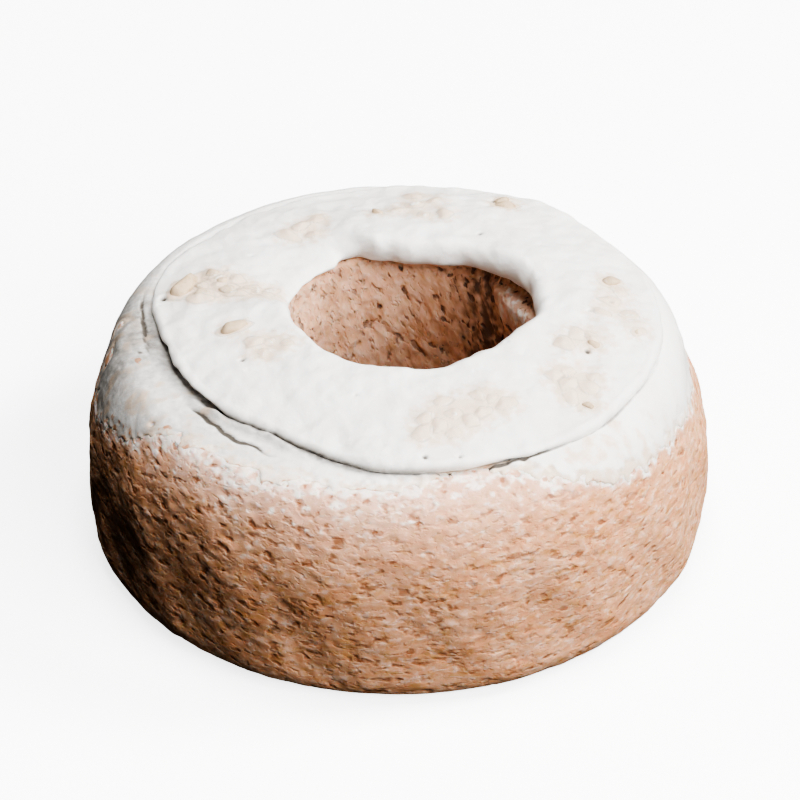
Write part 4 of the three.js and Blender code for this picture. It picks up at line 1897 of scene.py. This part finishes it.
    def surface(self) -> Surface:
        """Work out the chunks: along each way from its middle a chunk ends where its fullness is 1.

        Returns:
            The surface of all the chunks.
        """
        tilt = np.linspace(0, math.pi, self.up + 2)[1:-1, None]
        ring = polar(np.sin(tilt), round_ring(self.across), np.cos(tilt)).reshape(-1, 3)
        ways = np.concatenate([[[0, 0, 1]], ring, [[0, 0, -1]]])
        full = np.stack([self.fullness(*planes, ways) for planes in zip(self.facing, self.distance)])
        x, y, z = np.moveaxis(ways / full[..., None] * self.scale[:, None, :], -1, 0)
        cos, sin = np.cos(self.yaw)[:, None], np.sin(self.yaw)[:, None]
        points = np.stack([x * cos - y * sin, x * sin + y * cos, z], axis=-1) + self.middles[:, None, :]
        count = len(ways)
        top, foot = np.zeros(self.across, int), np.full(self.across, count - 1)
        first = 1 + np.arange(self.across)
        last = first + (self.up - 1) * self.across
        blocks = [
            np.stack([top, first, np.roll(first, -1)], axis=-1),
            np.stack([foot, np.roll(last, -1), last], axis=-1),
            Surface.bands(self.up, self.across, 1)[:, ::-1],
        ]
        starts = (np.arange(len(points)) * count)[:, None, None]
        faces = [(block[None] + starts).reshape(-1, block.shape[1]) for block in blocks]
        return Surface(points.reshape(-1, 3), faces, {"bare": np.repeat(self.bare, count)})

    def build(self) -> bpy.types.Object:
        """Make the piece and dress it.

        Returns:
            The piece.
        """
        piece = self.surface().put("chopped_nuts")
        piece.data.materials.append(NutFinish().make())
        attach(piece, BODY)
        return piece


@dataclass(frozen=True)
class Lamp:
    """A soft square light that faces the cake."""

    name: str
    turn: float
    rise: float
    distance: float
    size: float
    power: float


@dataclass
class Studio:
    """Pale floor, soft lights and the camera, in metres."""

    target: Triple = (0.0, 0.0, 0.0407)
    rise: float = 36.0
    distance: float = 1.32
    focal_pixels: float = 3696.0
    frame_pixels: float = 800.0
    target_pixel: Pair = (396.5, 416.0)
    sensor: float = 36.0
    floor_reach: float = 6.0
    floor_drop: float = 0.0002
    sky: Colour = (0.95, 0.95, 0.95)
    sky_strength: float = 0.02
    backdrop_strength: float = 2.4
    view: tuple[str, str] = ("AgX", "AgX - High Contrast")
    lamps: tuple[Lamp, ...] = (
        Lamp("key_light", 12.0, 42.0, 3.0, 0.9, 78.0),
        Lamp("front_light", -46.0, 38.0, 3.0, 2.2, 134.0),
        Lamp("top_light", 90.0, 86.0, 3.0, 1.2, 76.0),
    )

    def lay_floor(self) -> None:
        """Lay the floor that the cake stands on."""
        reach, drop = self.floor_reach / MM, self.floor_drop / MM
        sides = ((-1, -1), (1, -1), (1, 1), (-1, 1))
        corners = np.array([[x * reach, y * reach, -drop] for x, y in sides])
        floor = Surface(corners, [np.array([[0, 1, 2, 3]])]).put("floor")
        floor.data.materials.append(FloorFinish().make())
        floor.visible_diffuse = False
        floor.visible_glossy = False

    def hang_lights(self) -> None:
        """Hang the lamps round the target, each facing it."""
        for lamp in self.lamps:
            light = bpy.data.lights.new(lamp.name, "AREA")
            light.size = lamp.size
            light.energy = lamp.power
            piece = bpy.data.objects.new(lamp.name, light)
            turn, rise = math.radians(lamp.turn), math.radians(lamp.rise)
            way = Vector((math.cos(rise) * math.cos(turn), math.cos(rise) * math.sin(turn), math.sin(rise)))
            piece.location = Vector(self.target) + lamp.distance * way
            piece.rotation_euler = way.to_track_quat("Z", "Y").to_euler()
            bpy.context.scene.collection.objects.link(piece)

    def set_sky(self) -> None:
        """Set the faint surrounding light, which the camera sees as a pale backdrop, and the view."""
        world = bpy.data.worlds.new("studio")
        world.use_nodes = True
        tree = world.node_tree
        background = tree.nodes["Background"]
        background.inputs["Color"].default_value = (*self.sky, 1.0)
        seen = tree.nodes.new("ShaderNodeLightPath").outputs["Is Camera Ray"]
        strength = tree.nodes.new("ShaderNodeMath")
        strength.operation = "MULTIPLY_ADD"
        tree.links.new(seen, strength.inputs[0])
        strength.inputs[1].default_value = self.backdrop_strength
        strength.inputs[2].default_value = self.sky_strength
        tree.links.new(strength.outputs["Value"], background.inputs["Strength"])
        bpy.context.scene.world = world
        settings = bpy.context.scene.view_settings
        settings.view_transform, settings.look = self.view

    def set_camera(self) -> None:
        """Put the camera so that the target falls on its pixel of the picture."""
        data = bpy.data.cameras.new("camera")
        data.sensor_width = self.sensor
        data.lens = self.sensor * self.focal_pixels / self.frame_pixels
        camera = bpy.data.objects.new("camera", data)
        rise = math.radians(self.rise)
        way = Vector((0.0, -math.cos(rise), math.sin(rise)))
        up = Vector((0.0, math.sin(rise), math.cos(rise)))
        per_pixel = self.distance / self.focal_pixels
        aside = (self.frame_pixels / 2 - self.target_pixel[0]) * per_pixel
        above = (self.target_pixel[1] - self.frame_pixels / 2) * per_pixel
        target = Vector(self.target)
        camera.location = target + self.distance * way
        look = target + aside * Vector((1.0, 0.0, 0.0)) + above * up - camera.location
        camera.rotation_euler = look.to_track_quat("-Z", "Y").to_euler()
        bpy.context.scene.collection.objects.link(camera)
        bpy.context.scene.camera = camera


def main() -> None:
    """Build the cake's pieces in order and report each one."""
    logging.basicConfig(level=logging.INFO, format="%(name)s: %(message)s")
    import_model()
    form = CakeForm(cake_top=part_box(Node.CAKE_RING.value)[1].z / MM)
    icing = IcingFinish().make()
    cap = IcingCap(form)
    nuts = ChoppedNuts(cap)
    pieces = [
        CrumbRing(form).build(),
        IcingCoat(form).build(icing),
        cap.build(nuts, icing),
        nuts.build(),
    ]
    for piece in pieces:
        log.info("%s: %d faces", piece.name, len(piece.data.polygons))
    studio = Studio()
    studio.lay_floor()
    studio.hang_lights()
    studio.set_sky()
    studio.set_camera()


if __name__ == "__main__":
    main()
